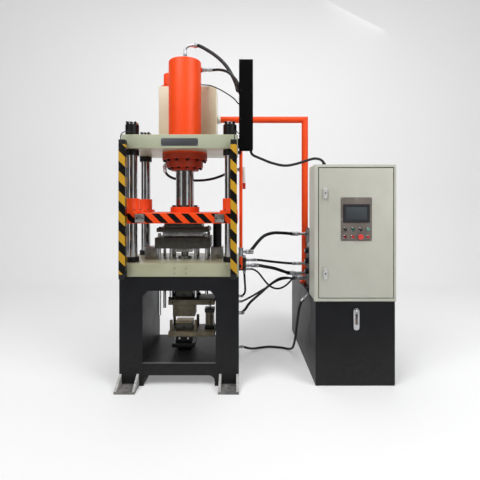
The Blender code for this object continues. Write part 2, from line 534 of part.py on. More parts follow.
def main_cylinder(press, paint):
    """The barrel, its flange under the crosshead, and the steel fittings of its two ports."""
    bore_top = CYLINDER_TOP - CYLINDER_ROOF
    edge = CYLINDER_R - CROWN_H
    profile = (
        (CYLINDER_BORE_R, FLANGE_Z), (FLANGE_R, FLANGE_Z),
        (FLANGE_R, HEAD_Z - SEAT), (CYLINDER_R, HEAD_Z - SEAT),
        (CYLINDER_R, CYLINDER_TOP - CROWN_H), (edge, CYLINDER_TOP), (BOSS_R, CYLINDER_TOP + CROWN_H),
        (BOSS_R, CYLINDER_TOP + BOSS_H), (0, CYLINDER_TOP + BOSS_H),
        (0, bore_top), (CYLINDER_BORE_R, bore_top),
    )
    barrel = piece("main_cylinder", turned(profile, WIDE_SIDES, True), paint, press)
    weld(barrel, bolts_under(FLANGE_BOLTS, (FLANGE_R + GLAND_R) / 2, FLANGE_Z))
    side_z = CYLINDER_TOP - SIDE_FITTING_DROP
    side_start, side_end = CYLINDER_R - FUSE * 2, CYLINDER_R + SIDE_FITTING_REACH
    fittings = upright(TOP_FITTING_R, CYLINDER_TOP, CYLINDER_TOP + TOP_FITTING_RISE + TOP_FITTING_R)
    rod(SIDE_FITTING_R, (side_start, 0, side_z), (side_end, 0, side_z), shape=fittings)
    weld(barrel, fittings)
    arm_z = CYLINDER_TOP + TOP_FITTING_RISE
    weld(barrel, rod(TOP_FITTING_R - FUSE / 2, (0, 0, arm_z), (TOP_FITTING_REACH, 0, arm_z)))


def cylinder_gland(press, paint):
    """The bolted ring that holds the rod's seals, with the bolt heads of its own under it."""
    bore = ROD_R + SLIDE
    low = GLAND_Z - GLAND_LIP_H
    profile = (
        (bore, low), (GLAND_LIP_R, low), (GLAND_LIP_R, GLAND_Z), (GLAND_R, GLAND_Z),
        (GLAND_R, GLAND_Z + GLAND_H), (bore, GLAND_Z + GLAND_H),
    )
    gland = piece("cylinder_gland", turned(profile, WIDE_SIDES, True), paint, press)
    weld(gland, bolts_under(GLAND_BOLTS, (GLAND_R + GLAND_LIP_R) / 2, GLAND_Z))


def ram(press, steel, paint):
    """The chromed rod with its piston, and the flange that bolts it to the platen."""
    low = PLATEN_TOP + SEAT
    piston_low = FLANGE_Z + PISTON_REST
    piston_r, piston_top = CYLINDER_BORE_R - SLIDE, piston_low + PISTON_H
    profile = (
        (0, low), (ROD_R, low), (ROD_R, piston_low),
        (piston_r, piston_low), (piston_r, piston_top), (0, piston_top),
    )
    piece("ram", turned(profile, WIDE_SIDES), steel, press)
    bore, top = ROD_R + SEAT, low + RAM_FLANGE_H
    ring = ((bore, low), (RAM_FLANGE_R, low), (RAM_FLANGE_R, top), (bore, top))
    flange = piece("ram_flange", turned(ring, WIDE_SIDES, True), paint, press)
    heads = bmesh.new()
    for x, y in ring_of(RAM_BOLTS, (RAM_FLANGE_R + ROD_R) / 2):
        upright(HEAD_BOLT_R, top - FUSE, top + HEAD_BOLT_H, x, y, BOLT_SIDES, heads)
    weld(flange, heads)


def bushing(at, shape):
    """One guide bushing's outside: a tube on a round flange."""
    upright(BUSHING_R, PLATEN_TOP - FUSE, PLATEN_TOP + BUSHING_H, *at, ROUND_SIDES, shape)


def bushing_flange(at, shape):
    upright(BUSHING_FLANGE_R, PLATEN_TOP - FUSE * 2, PLATEN_TOP + BUSHING_FLANGE_H, *at, ROUND_SIDES, shape)


def trim_flanges(made):
    """Cuts the bushings' flanges flush with the platen's four sides."""
    far, low, high = PLATEN_W + PLATEN_D, PLATEN_TOP - BUSHING_FLANGE_H, PLATEN_TOP + BUSHING_FLANGE_H + OVER
    ends, sides = bmesh.new(), bmesh.new()
    for side in (-1, 1):
        centred(BUSHING_FLANGE_R, far, low, high, side * (PLATEN_W + BUSHING_FLANGE_R) / 2, 0, ends)
        centred(far, BUSHING_FLANGE_R, low, high, 0, side * (PLATEN_D + BUSHING_FLANGE_R) / 2, sides)
    cut(made, ends)
    cut(made, sides)


def platen(press, paint):
    """The sliding plate, with a guide bushing on each column and two stop pads on its front."""
    made = piece("platen", centred(PLATEN_W, PLATEN_D, PLATEN_Z, PLATEN_TOP), paint, press)
    weld(made, at_columns(bushing_flange))
    trim_flanges(made)
    weld(made, at_columns(bushing))
    pads = bmesh.new()
    front, middle = -PLATEN_D / 2, (PLATEN_Z + PLATEN_TOP) / 2
    for side in (-1, 1):
        x = side * (PLATEN_W / 2 - PAD_INSET)
        low = (x - PAD_W / 2, front - PAD_T, middle - PAD_H / 2)
        block(low, (x + PAD_W / 2, front + FUSE, middle + PAD_H / 2), pads)
    weld(made, pads)
    radius = COLUMN_R + SLIDE
    low, high = PLATEN_Z - OVER, PLATEN_TOP + BUSHING_H + OVER
    cut(made, at_columns(lambda at, shape: upright(radius, low, high, *at, ROUND_SIDES, shape)))


def upper_punch(press, steel):
    """The punch holder, its clamp plate and the bar that carries the punches."""
    top = PLATEN_Z - SEAT
    made = piece("upper_punch", centred(HOLDER_W, HOLDER_D, HOLDER_Z, top), steel, press)
    weld(made, centred(PUNCH_PLATE_W, PUNCH_PLATE_D, PUNCH_PLATE_Z, HOLDER_Z + FUSE))
    weld(made, centred(PUNCH_BAR_W, PUNCH_BAR_D, PUNCH_PLATE_Z - PUNCH_BAR_H, PUNCH_PLATE_Z + FUSE))


def stops(press, grey, black):
    """Ground blocks on the table, and the post under the platen's right end."""
    for name, side in (("stop_block_left", -1), ("stop_block_right", 1)):
        low = TABLE_TOP + SEAT
        piece(name, centred(STOP_BLOCK_W, STOP_BLOCK_D, low, low + STOP_BLOCK_H, side * STOP_X), grey, press)
    low = TABLE_TOP + STOP_BLOCK_H + 2 * SEAT
    post = turned(((0, low), (STOP_POST_R, low), (STOP_POST_R, PLATEN_Z - SEAT), (0, PLATEN_Z - SEAT)))
    piece("stop_post", post, black, press, (STOP_X, 0, 0))


def die_plate(press, steel):
    """The die plate on its four pillars, with the insert that the lower punch works in."""
    made = piece("die_plate", centred(DIE_W, DIE_D, DIE_BOTTOM, DIE_TOP), steel, press)
    weld(made, centred(INSERT_W, INSERT_W, DIE_BOTTOM - INSERT_H, DIE_BOTTOM + FUSE))
    pillars = bmesh.new()
    pillar_top = PUNCH_PLATE_Z - PILLAR_HEADROOM
    for x, y in pillar_places():
        drop = LEFT_PILLAR_DROP if x < 0 else RIGHT_PILLAR_DROP
        upright(PILLAR_R, TABLE_TOP - drop, pillar_top, x, y, SMALL_SIDES, pillars)
    weld(made, pillars)
    low = DIE_BOTTOM - INSERT_H - OVER
    cut(made, upright(LOWER_PUNCH_R + SLIDE, low, DIE_TOP + OVER, sides=ROUND_SIDES))


def lower_punch(press, steel):
    """The fixed punch on the table."""
    low = TABLE_TOP + SEAT
    foot_top, top = low + LOWER_PUNCH_FOOT_H, DIE_TOP - PUNCH_BELOW_DIE
    profile = (
        (0, low), (LOWER_PUNCH_FOOT_R, low), (LOWER_PUNCH_FOOT_R, foot_top),
        (LOWER_PUNCH_R, foot_top), (LOWER_PUNCH_R, top), (0, top),
    )
    piece("lower_punch", turned(profile), steel, press)


def upper_yoke(press, paint):
    """The plate that hangs from the die plate on four pull rods, with its centre block and float rod."""
    top = UPPER_YOKE_Z + UPPER_YOKE_H
    made = piece("upper_yoke", centred(YOKE_W, YOKE_D, UPPER_YOKE_Z, top, YOKE_X), paint, press)
    rods = bmesh.new()
    for x, y in pull_rod_places():
        upright(PULL_ROD_R, top - FUSE, DIE_BOTTOM - SEAT, x, y, SMALL_SIDES, rods)
    upright(FLOAT_ROD_R, UPPER_YOKE_Z - FLOAT_ROD_DROP, UPPER_YOKE_Z + FUSE, FLOAT_X, 0, SMALL_SIDES, rods)
    weld(made, rods)
    low = UPPER_YOKE_Z - CENTRE_BLOCK_H
    weld(made, centred(CENTRE_BLOCK_W, CENTRE_BLOCK_D, low, UPPER_YOKE_Z + FUSE))
    holes = bmesh.new()
    front = -CENTRE_BLOCK_D / 2
    z = low + BLOCK_HOLE_RISE
    for x in (-BLOCK_HOLE_PITCH, 0, BLOCK_HOLE_PITCH):
        rod(BLOCK_HOLE_R, (x, front - OVER, z), (x, front + BLOCK_HOLE_DEPTH, z), shape=holes)
    cut(made, holes)


def ejector(press, black, steel, paint):
    """The cylinder in the base, its rod, and the plate that the rod lifts."""
    low, head_low = EJECTOR_FLOOR, EJECTOR_FLANGE_Z + EJECTOR_FLANGE_H
    collar_low = WINDOW_Z + SEAT
    profile = (
        (0, low), (EJECTOR_R, low), (EJECTOR_R, collar_low), (EJECTOR_COLLAR_R, collar_low),
        (EJECTOR_COLLAR_R, collar_low + EJECTOR_COLLAR_H), (EJECTOR_R, collar_low + EJECTOR_COLLAR_H),
        (EJECTOR_R, EJECTOR_FLANGE_Z + FUSE), (0, EJECTOR_FLANGE_Z + FUSE),
    )
    made = piece("ejector_cylinder", turned(profile), black, press)
    weld(made, centred(EJECTOR_FLANGE_W, EJECTOR_FLANGE_W, EJECTOR_FLANGE_Z, head_low))
    weld(made, centred(EJECTOR_HEAD_W, EJECTOR_HEAD_W, head_low - FUSE, EJECTOR_TOP))
    cut(made, upright(EJECTOR_BORE_R, low + EJECTOR_FLOOR, EJECTOR_TOP + OVER, sides=ROUND_SIDES))
    rod_low = low + EJECTOR_FLOOR + ROD_REST
    piston_r, piston_top = EJECTOR_BORE_R - SLIDE, rod_low + EJECTOR_PISTON_H
    stem = (
        (0, rod_low), (piston_r, rod_low), (piston_r, piston_top), (EJECTOR_ROD_R, piston_top),
        (EJECTOR_ROD_R, LOWER_YOKE_Z - SEAT), (0, LOWER_YOKE_Z - SEAT),
    )
    piece("ejector_rod", turned(stem), steel, press)
    yoke = piece("lower_yoke", centred(YOKE_W, YOKE_D, LOWER_YOKE_Z, LOWER_YOKE_TOP, YOKE_X), paint, press)
    tops = centred(STOP_PAD_W, STOP_PAD_D, LOWER_YOKE_TOP - FUSE, LOWER_YOKE_TOP + STOP_PAD_H)
    for x, y in pull_rod_places():
        upright(LOWER_POST_R, LOWER_YOKE_TOP - FUSE, LOWER_YOKE_TOP + LOWER_POST_H, x, y, SMALL_SIDES, tops)
    weld(yoke, tops)


def float_cylinder(press, paint):
    """The small cylinder between the two yokes: square caps on a round barrel."""
    high, cap_top = FLOAT_Z + FLOAT_H, FLOAT_Z + FLOAT_CAP_H
    lower_cap = centred(FLOAT_CAP_W, FLOAT_CAP_W, FLOAT_Z, cap_top)
    made = piece("float_cylinder", lower_cap, paint, press, (FLOAT_X, 0, 0))
    weld(made, upright(FLOAT_R, cap_top - FUSE, high - FLOAT_CAP_H + FUSE, sides=ROUND_SIDES))
    weld(made, centred(FLOAT_CAP_W, FLOAT_CAP_W, high - FLOAT_CAP_H, high))
    cut(made, upright(FLOAT_BORE_R, FLOAT_Z + FLOAT_FLOOR, high + OVER))


def prefill_tank(press, paint):
    """A welded sheet tank on the crosshead, behind the cylinder; it is open where the pipes enter."""
    half, rear = HEADER_W / 2, HEADER_Y + HEADER_D
    outside = block((-half, HEADER_Y, HEADER_BOTTOM), (half, rear, HEADER_TOP))
    made = piece("prefill_tank", outside, paint, press)
    inner = half - HEADER_WALL
    low = (-inner, HEADER_Y + HEADER_WALL, HEADER_BOTTOM + HEADER_WALL)
    cut(made, block(low, (inner, rear - HEADER_WALL, HEADER_TOP - HEADER_WALL)))
    x, y, z = PREFILL_X, PREFILL_Y, HEADER_TOP
    holes = upright(HEADER_HOLE_R, z - HEADER_WALL - OVER, z + OVER, x, y)
    z = HEADER_BOTTOM + SUCTION_Z
    middle = HEADER_Y + SUCTION_Y
    rod(HEADER_HOLE_R, (inner - OVER, middle, z), (half + OVER, middle, z), shape=holes)
    cut(made, holes)


def prefill_valve(press, paint):
    """The valve on the tank's lid, with the neck that joins it to the back of the barrel."""
    low = HEADER_TOP + SEAT
    flange_top, top = low + PREFILL_FLANGE_H, low + PREFILL_H
    profile = (
        (0, low), (PREFILL_FLANGE_R, low), (PREFILL_FLANGE_R, flange_top), (PREFILL_R, flange_top),
        (PREFILL_R, top - PREFILL_FLANGE_H / 2), (PREFILL_NECK_R, top), (0, top),
    )
    made = piece("prefill_valve", turned(profile), paint, press, (PREFILL_X, PREFILL_Y, 0))
    away = Vector((-PREFILL_X, -PREFILL_Y, 0))
    level = (flange_top + top) / 2
    reach = away * (1 - (CYLINDER_R + SEAT) / away.length)
    weld(made, rod(PREFILL_NECK_R - FUSE, (0, 0, level), (reach.x, reach.y, level), ROUND_SIDES))


def suction_pipe(press, paint):
    """Runs from the header tank's right side, over the gap, and down to the oil tank."""
    start = HEADER_W / 2 + SEAT
    y, z = HEADER_Y + SUCTION_Y, HEADER_BOTTOM + SUCTION_Z
    down = BASE_W / 2 + UNIT_AWAY + SUCTION_X
    across = rod(SUCTION_R, (start, y, z), (down + SUCTION_R, y, z), ROUND_SIDES)
    made = piece("suction_pipe", across, paint, press)
    weld(made, upright(SUCTION_R - FUSE / 3, TANK_TOP, z, down, y, ROUND_SIDES))
    weld(made, rod(SUCTION_WELD_R, (start, y, z), (start + SUCTION_WELD_L, y, z), ROUND_SIDES))
    weld(made, upright(SUCTION_FOOT_R, TANK_TOP, TANK_TOP + SUCTION_FOOT_H, down, y, ROUND_SIDES))


def light_curtain(name, side, press, paint):
    """A light-curtain post in front of the working gap, on two brackets."""
    x, back = side * (BASE_W / 2 - CURTAIN_INSET), -BASE_D / 2 - CURTAIN_AWAY
    low = (x - CURTAIN_W / 2, back - CURTAIN_D, TABLE_Z - CURTAIN_DROP)
    post = block(low, (x + CURTAIN_W / 2, back, HEAD_Z + CURTAIN_RISE))
    made = piece(name, post, paint, press)
    brackets = bmesh.new()
    for level, face in ((TABLE_Z + BRACKET_RISE, -BASE_D / 2), (HEAD_Z + BRACKET_RISE, -HEAD_D / 2)):
        bottom = (x - BRACKET_W / 2, back - FUSE, level)
        block(bottom, (x + BRACKET_W / 2, face - SEAT, level + BRACKET_H), brackets)
    weld(made, brackets)


def hose_duct(press, paint):
    """A folded sheet duct, open at its foot, on lugs from the crosshead's right end."""
    left, front, low = HEAD_W / 2 + DUCT_AWAY, DUCT_FRONT - BASE_D / 2, HEAD_Z
    right, rear, high = left + DUCT_W, front + DUCT_D, low + DUCT_H
    made = piece("hose_duct", block((left, front, low), (right, rear, high)), paint, press)
    wall = DUCT_WALL
    cut(made, block((left + wall, front + wall, low - OVER), (right - wall, rear - wall, high - wall)))
    lug_low = low + DUCT_LUG_RISE
    lug_end = (left + wall / 2, rear - wall, lug_low + DUCT_LUG_H)
    weld(made, block((HEAD_W / 2 + SEAT, front + wall, lug_low), lug_end))


def side_pipe(press, paint):
    """The oil pipe down the press's right side, held by two clamps, with a tee over the manifold."""
    x, y = BASE_W / 2 + SIDE_PIPE_AWAY, SIDE_PIPE_Y
    low, high = TABLE_TOP - SIDE_PIPE_DROP, HEAD_Z + SIDE_PIPE_TOP
    made = piece("side_pipe", upright(SIDE_PIPE_R, low, high, x, y), paint, press)
    joints = upright(TEE_R - FUSE, TABLE_TOP + TEE_RISE - TEE_H / 2, TABLE_TOP + TEE_RISE + TEE_H / 2, x, y)
    weld(made, joints)
    z = TABLE_TOP + TEE_RISE
    weld(made, rod(PORT_R, (x, y, z), (x + TEE_R + TEE_REACH, y, z)))
    clamps = bmesh.new()
    for face, level in ((BASE_W / 2, TABLE_Z + CLAMP_H), (HEAD_W / 2, HEAD_Z + CLAMP_H / 2)):
        corner = (face + SEAT, y - CLAMP_W / 2, level - CLAMP_H / 2)
        block(corner, (x, y + CLAMP_W / 2, level + CLAMP_H / 2), clamps)
    weld(made, clamps)


def manifold(press, paint):
    """The oil manifold on the table's right end, with two hose fittings."""
    left, low = BASE_W / 2 + SEAT, BASE_H + MANIFOLD_RISE
    right, front = left + MANIFOLD_W, MANIFOLD_Y - MANIFOLD_D / 2
    body = block((left, front, low), (right, front + MANIFOLD_D, low + MANIFOLD_H))
    made = piece("manifold", body, paint, press)
    ports = bmesh.new()
    for (along, up), reach in ((UPPER_PORT_SHARES, UPPER_PORT_REACH), (LOWER_PORT_SHARES, LOWER_PORT_REACH)):
        y, z = front + along * MANIFOLD_D, low + up * MANIFOLD_H
        rod(PORT_R, (right - FUSE, y, z), (right + reach, y, z), shape=ports)
    weld(made, ports)


def oil_tank(unit, paint):
    """The welded oil tank under the cabinet and the pump, hollow, with a filler hole."""
    half = TANK_W / 2
    made = piece("oil_tank", block((-half, 0, 0), (half, TANK_L, TANK_H)), paint, unit)
    wall = TANK_WALL
    cut(made, block((wall - half, wall, wall), (half - wall, TANK_L - wall, TANK_H - wall)))
    cut(made, upright(FILLER_R, TANK_H - wall - OVER, TANK_H + OVER, FILLER_X, FILLER_Y))
    away = RETURN_PORT_REACH * sin(pi / 4)
    start = (-half + FUSE, RETURN_PORT_Y, RETURN_PORT_Z + FUSE)
    weld(made, rod(RETURN_PORT_R, start, (-half - away, RETURN_PORT_Y, RETURN_PORT_Z - away)))


def filler_cap(unit, black):
    """The breather cap, whose plug sits in the filler hole."""
    low, plug = TANK_TOP, FILLER_R - SLIDE
    profile = (
        (0, low - CAP_PLUG_H), (plug, low - CAP_PLUG_H), (plug, low), (CAP_R, low), (CAP_R, low + CAP_H),
        (0, low + CAP_H),
    )
    piece("filler_cap", turned(profile, SMALL_SIDES), black, unit, (FILLER_X, FILLER_Y, 0))


def level_gauge(unit, steel):
    half = LEVEL_W / 2
    low = (LEVEL_X - half, -LEVEL_T, LEVEL_Z)
    piece("level_gauge", block(low, (LEVEL_X + half, -SEAT, LEVEL_Z + LEVEL_H)), steel, unit)


def cabinet_body(unit, paint):
    """A folded sheet cabinet, with a rim round its door opening and a lip that the door shuts on."""
    half, high = TANK_W / 2, CABINET_TOP
    made = piece("cabinet_body", block((-half, 0, TANK_TOP), (half, CABINET_D, high)), paint, unit)
    wall = CABINET_WALL
    low = (wall - half, RIM_T, TANK_TOP + wall)
    cut(made, block(low, (half - wall, CABINET_D - wall, high - wall)))
    left, right, bottom, top = RIM_LEFT - half, half - RIM_RIGHT, TANK_TOP + RIM_END, high - RIM_END
    cut(made, block((left, -OVER, bottom), (right, DOOR_T + SEAT, top)))
    low = (left + RIM_LIP, 0, bottom + RIM_LIP)
    cut(made, block(low, (right - RIM_LIP, RIM_T + OVER, top - RIM_LIP)))


def cabinet_door(hinge, paint):
    """A folded door: a front sheet with its edges turned in."""
    made = piece("cabinet_door", block((-DOOR_W, 0, 0), (0, DOOR_T, DOOR_H)), paint, hinge)
    edge = DOOR_EDGE
    cut(made, block((edge - DOOR_W, DOOR_SKIN, edge), (-edge, DOOR_T + OVER, DOOR_H - edge)))


def operator_places():
    """Name, kind and place of each push-button and selector, on the door's front."""
    for row, kinds in enumerate(OPERATORS):
        z = PANEL_Z + OPERATOR_ROWS_Z - row * OPERATOR_ROW_PITCH
        for i, (kind, name) in enumerate(kinds):
            yield kind, name, PANEL_X - HINGE_X + (i - (len(kinds) - 1) / 2) * OPERATOR_PITCH, z


def control_panel(hinge, paint):
    """The plate on the door, with the operator screen's frame and a bezel round each button."""
    middle, face = PANEL_X - HINGE_X, -SEAT - PANEL_T
    plate = block((middle - PANEL_W / 2, face, PANEL_Z), (middle + PANEL_W / 2, -SEAT, PANEL_Z + PANEL_H))
    made = piece("control_panel", plate, paint, hinge)
    top = PANEL_Z + PANEL_H - SCREEN_DROP
    low = (middle - SCREEN_W / 2, face - SCREEN_T, top - SCREEN_H)
    weld(made, block(low, (middle + SCREEN_W / 2, face + PANEL_T / 2, top)))
    bezels, mouths = bmesh.new(), bmesh.new()
    for _, _, x, z in operator_places():
        rod(BEZEL_R, (x, face + PANEL_T / 2, z), (x, face - BEZEL_H, z), shape=bezels)
        rod(BUTTON_R + SLIDE, (x, face, z), (x, face - BEZEL_H - OVER, z), shape=mouths)
    weld(made, bezels)
    cut(made, mouths)


def operator_profile(kind):
    """Half the outline of a push-button, a selector's body or a mushroom, from its foot to its top."""
    if kind == "selector":
        return (0, SEAT), (BUTTON_R, SEAT), (BUTTON_R, SELECTOR_Z), (0, SELECTOR_Z)
    low = BUTTON_LIFT
    if kind == "mushroom":
        return (
            (0, low), (BUTTON_R, low), (BUTTON_R, BEZEL_H), (MUSHROOM_STEM_R, BEZEL_H),
            (MUSHROOM_STEM_R, MUSHROOM_Z), (MUSHROOM_R, MUSHROOM_Z), (MUSHROOM_R, MUSHROOM_EDGE_Z),
            (MUSHROOM_STEM_R, MUSHROOM_TOP_Z), (0, MUSHROOM_TOP_Z),
        )
    return (0, low), (BUTTON_R, low), (BUTTON_R, CAP_EDGE_Z), (CAP_TOP_R, CAP_TOP_Z), (0, CAP_TOP_Z)


def operator(kind, name, x, z, hinge, paint):
    """A push-button, a selector with a raised grip, or a mushroom; its axis points out of the door."""
    place, turn = (x, -SEAT - PANEL_T, z), (pi / 2, 0, 0)
    made = piece(name, turned(operator_profile(kind), SMALL_SIDES), paint, hinge, place, turn)
    if kind == "selector":
        weld(made, centred(GRIP_W, GRIP_L, GRIP_Z, GRIP_Z + GRIP_H))


def latch(name, share, hinge, steel):
    """A swing handle: a round boss on the door with a grip across it."""
    x, z = LATCH_X - DOOR_W, share * DOOR_H
    boss = turned(((0, 0), (LATCH_W / 2, 0), (LATCH_W / 2, LATCH_T + FUSE), (0, LATCH_T + FUSE)))
    made = piece(name, boss, steel, hinge, (x, -SEAT, z), (pi / 2, 0, 0))
    weld(made, centred(LATCH_W, LATCH_H, LATCH_T, LATCH_T + LATCH_GRIP_T))


def pump_motor(unit, paint):
    """The electric motor on the tank's lid, with its fan cowl and feet."""
    z = TANK_TOP + MOTOR_AXIS_H
    cowl = MOTOR_L - COWL_L
    profile = ((0, 0), (MOTOR_R, 0), (MOTOR_R, cowl), (COWL_R, cowl), (COWL_R, MOTOR_L), (0, MOTOR_L))
    made = piece("pump_motor", turned(profile), paint, unit, (0, MOTOR_Y, z), (-pi / 2, 0, 0))
    start, end = MOTOR_FOOT_START, MOTOR_FOOT_START + MOTOR_FOOT_L
    foot, neck = MOTOR_FOOT_W / 2, MOTOR_NECK_W / 2
    weld(made, block((-foot, MOTOR_R, start), (foot, MOTOR_AXIS_H, end)))
    weld(made, block((-neck, MOTOR_R - MOTOR_NECK_H, start), (neck, MOTOR_R + FUSE, end)))


def hydraulic_pump(unit, paint):
    """The pump in front of the motor: a bell housing, a square body and a foot on the lid."""
    z = TANK_TOP + MOTOR_AXIS_H
    profile = ((0, SEAT), (BELL_R, SEAT), (BELL_R, BELL_L), (0, BELL_L))
    made = piece("hydraulic_pump", turned(profile), paint, unit, (0, MOTOR_Y, z), (pi / 2, 0, 0))
    half, end = PUMP_W / 2, BELL_L + PUMP_L
    weld(made, block((-half, -half, BELL_L - FUSE), (half, half, end)))
    foot = PUMP_FOOT_W / 2
    weld(made, block((-foot, -MOTOR_AXIS_H, BELL_L + foot), (foot, 0, end - foot)))


def valve_block(unit, paint):
    """The valve tower on the lid, with its solenoids, hose fittings and a port for the gauge."""
    left = VALVE_X - TANK_W / 2
    low, high = TANK_TOP, TANK_TOP + VALVE_H
    tower = block((left, VALVE_Y, low), (left + VALVE_W, VALVE_Y + VALVE_D, high))
    made = piece("valve_block", tower, paint, unit)
    parts, y = bmesh.new(), VALVE_Y + SOLENOID_Y
    for share in SOLENOID_SHARES:
        z = low + share * VALVE_H
        rod(SOLENOID_R, (left - SOLENOID_REACH, y, z), (left + FUSE, y, z), shape=parts)
    for up, along, reach in VALVE_PORTS:
        y, z = VALVE_Y + along * VALVE_D, low + up * VALVE_H
        rod(PORT_R, (left - reach, y, z), (left + FUSE, y, z), shape=parts)
    weld(made, parts)


def pressure_gauge(unit, steel):
    """A round gauge on a short stem from the valve tower, facing forward."""
    x, z = VALVE_X + GAUGE_R / 2 - TANK_W / 2, TANK_TOP + GAUGE_RISE_SHARE * VALVE_H
    profile = (
        (0, SEAT), (GAUGE_STEM_R, SEAT), (GAUGE_STEM_R, GAUGE_STEM_L), (GAUGE_R, GAUGE_STEM_L),
        (GAUGE_R, GAUGE_STEM_L + GAUGE_T), (0, GAUGE_STEM_L + GAUGE_T),
    )
    piece("pressure_gauge", turned(profile), steel, unit, (x, VALVE_Y, z), (pi / 2, 0, 0))


def smooth_route(points, spacing):
    """Straight leads at both ends, and evenly spaced points on a smooth curve through the route."""
    own = np.array(points)
    t = np.linspace(0, 1, HOSE_STEPS, endpoint=False)[:, None]
    stretches = []
    for a, b, c, d in zip(own, own[1:], own[2:], own[3:]):
        bends = 2 * b + (c - a) * t + (2 * a - 5 * b + 4 * c - d) * t**2 + (3 * b - a - 3 * c + d) * t**3
        stretches.append(bends / 2)
    fine = np.vstack([*stretches, own[-2:-1]])
    run = np.concatenate([[0], np.cumsum(np.linalg.norm(np.diff(fine, axis=0), axis=1))])
    wanted = np.linspace(0, run[-1], round(run[-1] / spacing) + 1)
    even = np.column_stack([np.interp(wanted, run, fine[:, axis]) for axis in range(3)])
    return np.vstack([own[:1], even, own[-1:]])


def hose(name, diameter, points, rubber):
    """A rubber hose along its route."""
    curve = bpy.data.curves.new(name, "CURVE")
    curve.dimensions = "3D"
    curve.bevel_depth = diameter / 2
    curve.bevel_resolution = HOSE_ROUND_STEPS
    curve.use_fill_caps = True
    line = curve.splines.new("POLY")
    route = smooth_route(points, diameter * HOSE_POINT_SHARE)
    line.points.add(len(route) - 1)
    for point, place in zip(line.points, route):
        point.co = (*place, 1)
    curve.materials.append(rubber)
    obj = bpy.data.objects.new(name, curve)
    bpy.context.scene.collection.objects.link(obj)


def build_press(press, looks):
    base_frame(press, looks["dark"])
    table(press, looks["sage"])
    crosshead(press, looks["sage"])
    for name, at in COLUMNS.items():
        column(name, at, press, looks["chrome"])
    main_cylinder(press, looks["orange"])
    cylinder_gland(press, looks["orange"])
    ram(press, looks["chrome"], looks["orange"])
    platen(press, looks["orange"])
    upper_punch(press, looks["steel"])
    stops(press, looks["grey"], looks["black"])
    die_plate(press, looks["steel"])
    lower_punch(press, looks["steel"])
    upper_yoke(press, looks["olive"])
    ejector(press, looks["black"], looks["chrome"], looks["olive"])
    float_cylinder(press, looks["olive"])
    prefill_tank(press, looks["cream"])
    prefill_valve(press, looks["orange"])
    suction_pipe(press, looks["orange"])
    light_curtain("light_curtain_left", -1, press, looks["yellow"])
    light_curtain("light_curtain_right", 1, press, looks["yellow"])
    hose_duct(press, looks["black"])
    side_pipe(press, looks["orange"])
    manifold(press, looks["steel"])


def build_unit(unit, looks):
    oil_tank(unit, looks["dark"])
    filler_cap(unit, looks["black"])
    level_gauge(unit, looks["chrome"])
    cabinet_body(unit, looks["pale"])
    hinge = empty("door_hinge", (HINGE_X, 0, DOOR_Z), unit)
    cabinet_door(hinge, looks["pale"])
    control_panel(hinge, looks["grey"])
    caps = {"selector": "black", "green": "green", "red": "red", "mushroom": "red"}
    for kind, name, x, z in operator_places():
        operator(kind, name, x, z, hinge, looks[caps[kind]])
    for name, share in zip(("upper_latch", "lower_latch"), LATCH_SHARES):
        latch(name, share, hinge, looks["chrome"])
    pump_motor(unit, looks["blue"])
    hydraulic_pump(unit, looks["black"])
    valve_block(unit, looks["black"])
    pressure_gauge(unit, looks["chrome"])


def main():
    for obj in list(bpy.data.objects):
        bpy.data.objects.remove(obj)
    looks = {
        "dark": finish("dark_grey_paint", (0.020, 0.022, 0.026), 0.45),
        "sage": finish("grey_green_paint", (0.38, 0.40, 0.29), 0.40),
        "orange": finish("orange_paint", (0.85, 0.11, 0.03), 0.35),
        "cream": finish("cream_paint", (0.75, 0.69, 0.52), 0.45),
        "pale": finish("pale_grey_powder_coat", (0.46, 0.47, 0.40), 0.50),
        "olive": finish("olive_primer", (0.10, 0.085, 0.055), 0.60),
        "blue": finish("blue_grey_paint", (0.10, 0.13, 0.16), 0.45),
        "yellow": finish("yellow_paint", (0.48, 0.29, 0.03), 0.45),
        "grey": finish("ground_steel", (0.28, 0.28, 0.27), 0.40, 0.6),
        "steel": finish("dark_tool_steel", (0.07, 0.07, 0.06), 0.45, 0.7),
        "chrome": finish("hard_chrome", (0.60, 0.60, 0.60), 0.15, 1.0),
        "black": finish("black_oxide", (0.010, 0.010, 0.010), 0.50),
        "red": finish("red_plastic", (0.45, 0.01, 0.01), 0.35),
        "green": finish("green_plastic", (0.01, 0.30, 0.06), 0.35),
        "rubber": finish("hose_rubber", (0.008, 0.008, 0.008), 0.60),
    }
    build_press(empty("press", (PRESS_X, PRESS_Y, 0)), looks)
    build_unit(empty("power_unit", (UNIT_X, FRONT_Y, 0)), looks)
    for name, (diameter, points) in HOSES.items():
        hose(name, diameter, points, looks["rubber"])


main()
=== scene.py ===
"""The looks of a four-column hydraulic press and its power unit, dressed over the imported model.

Metres, +Z up, the front faces -Y. The press stands on the left and the power unit on the right.
"""

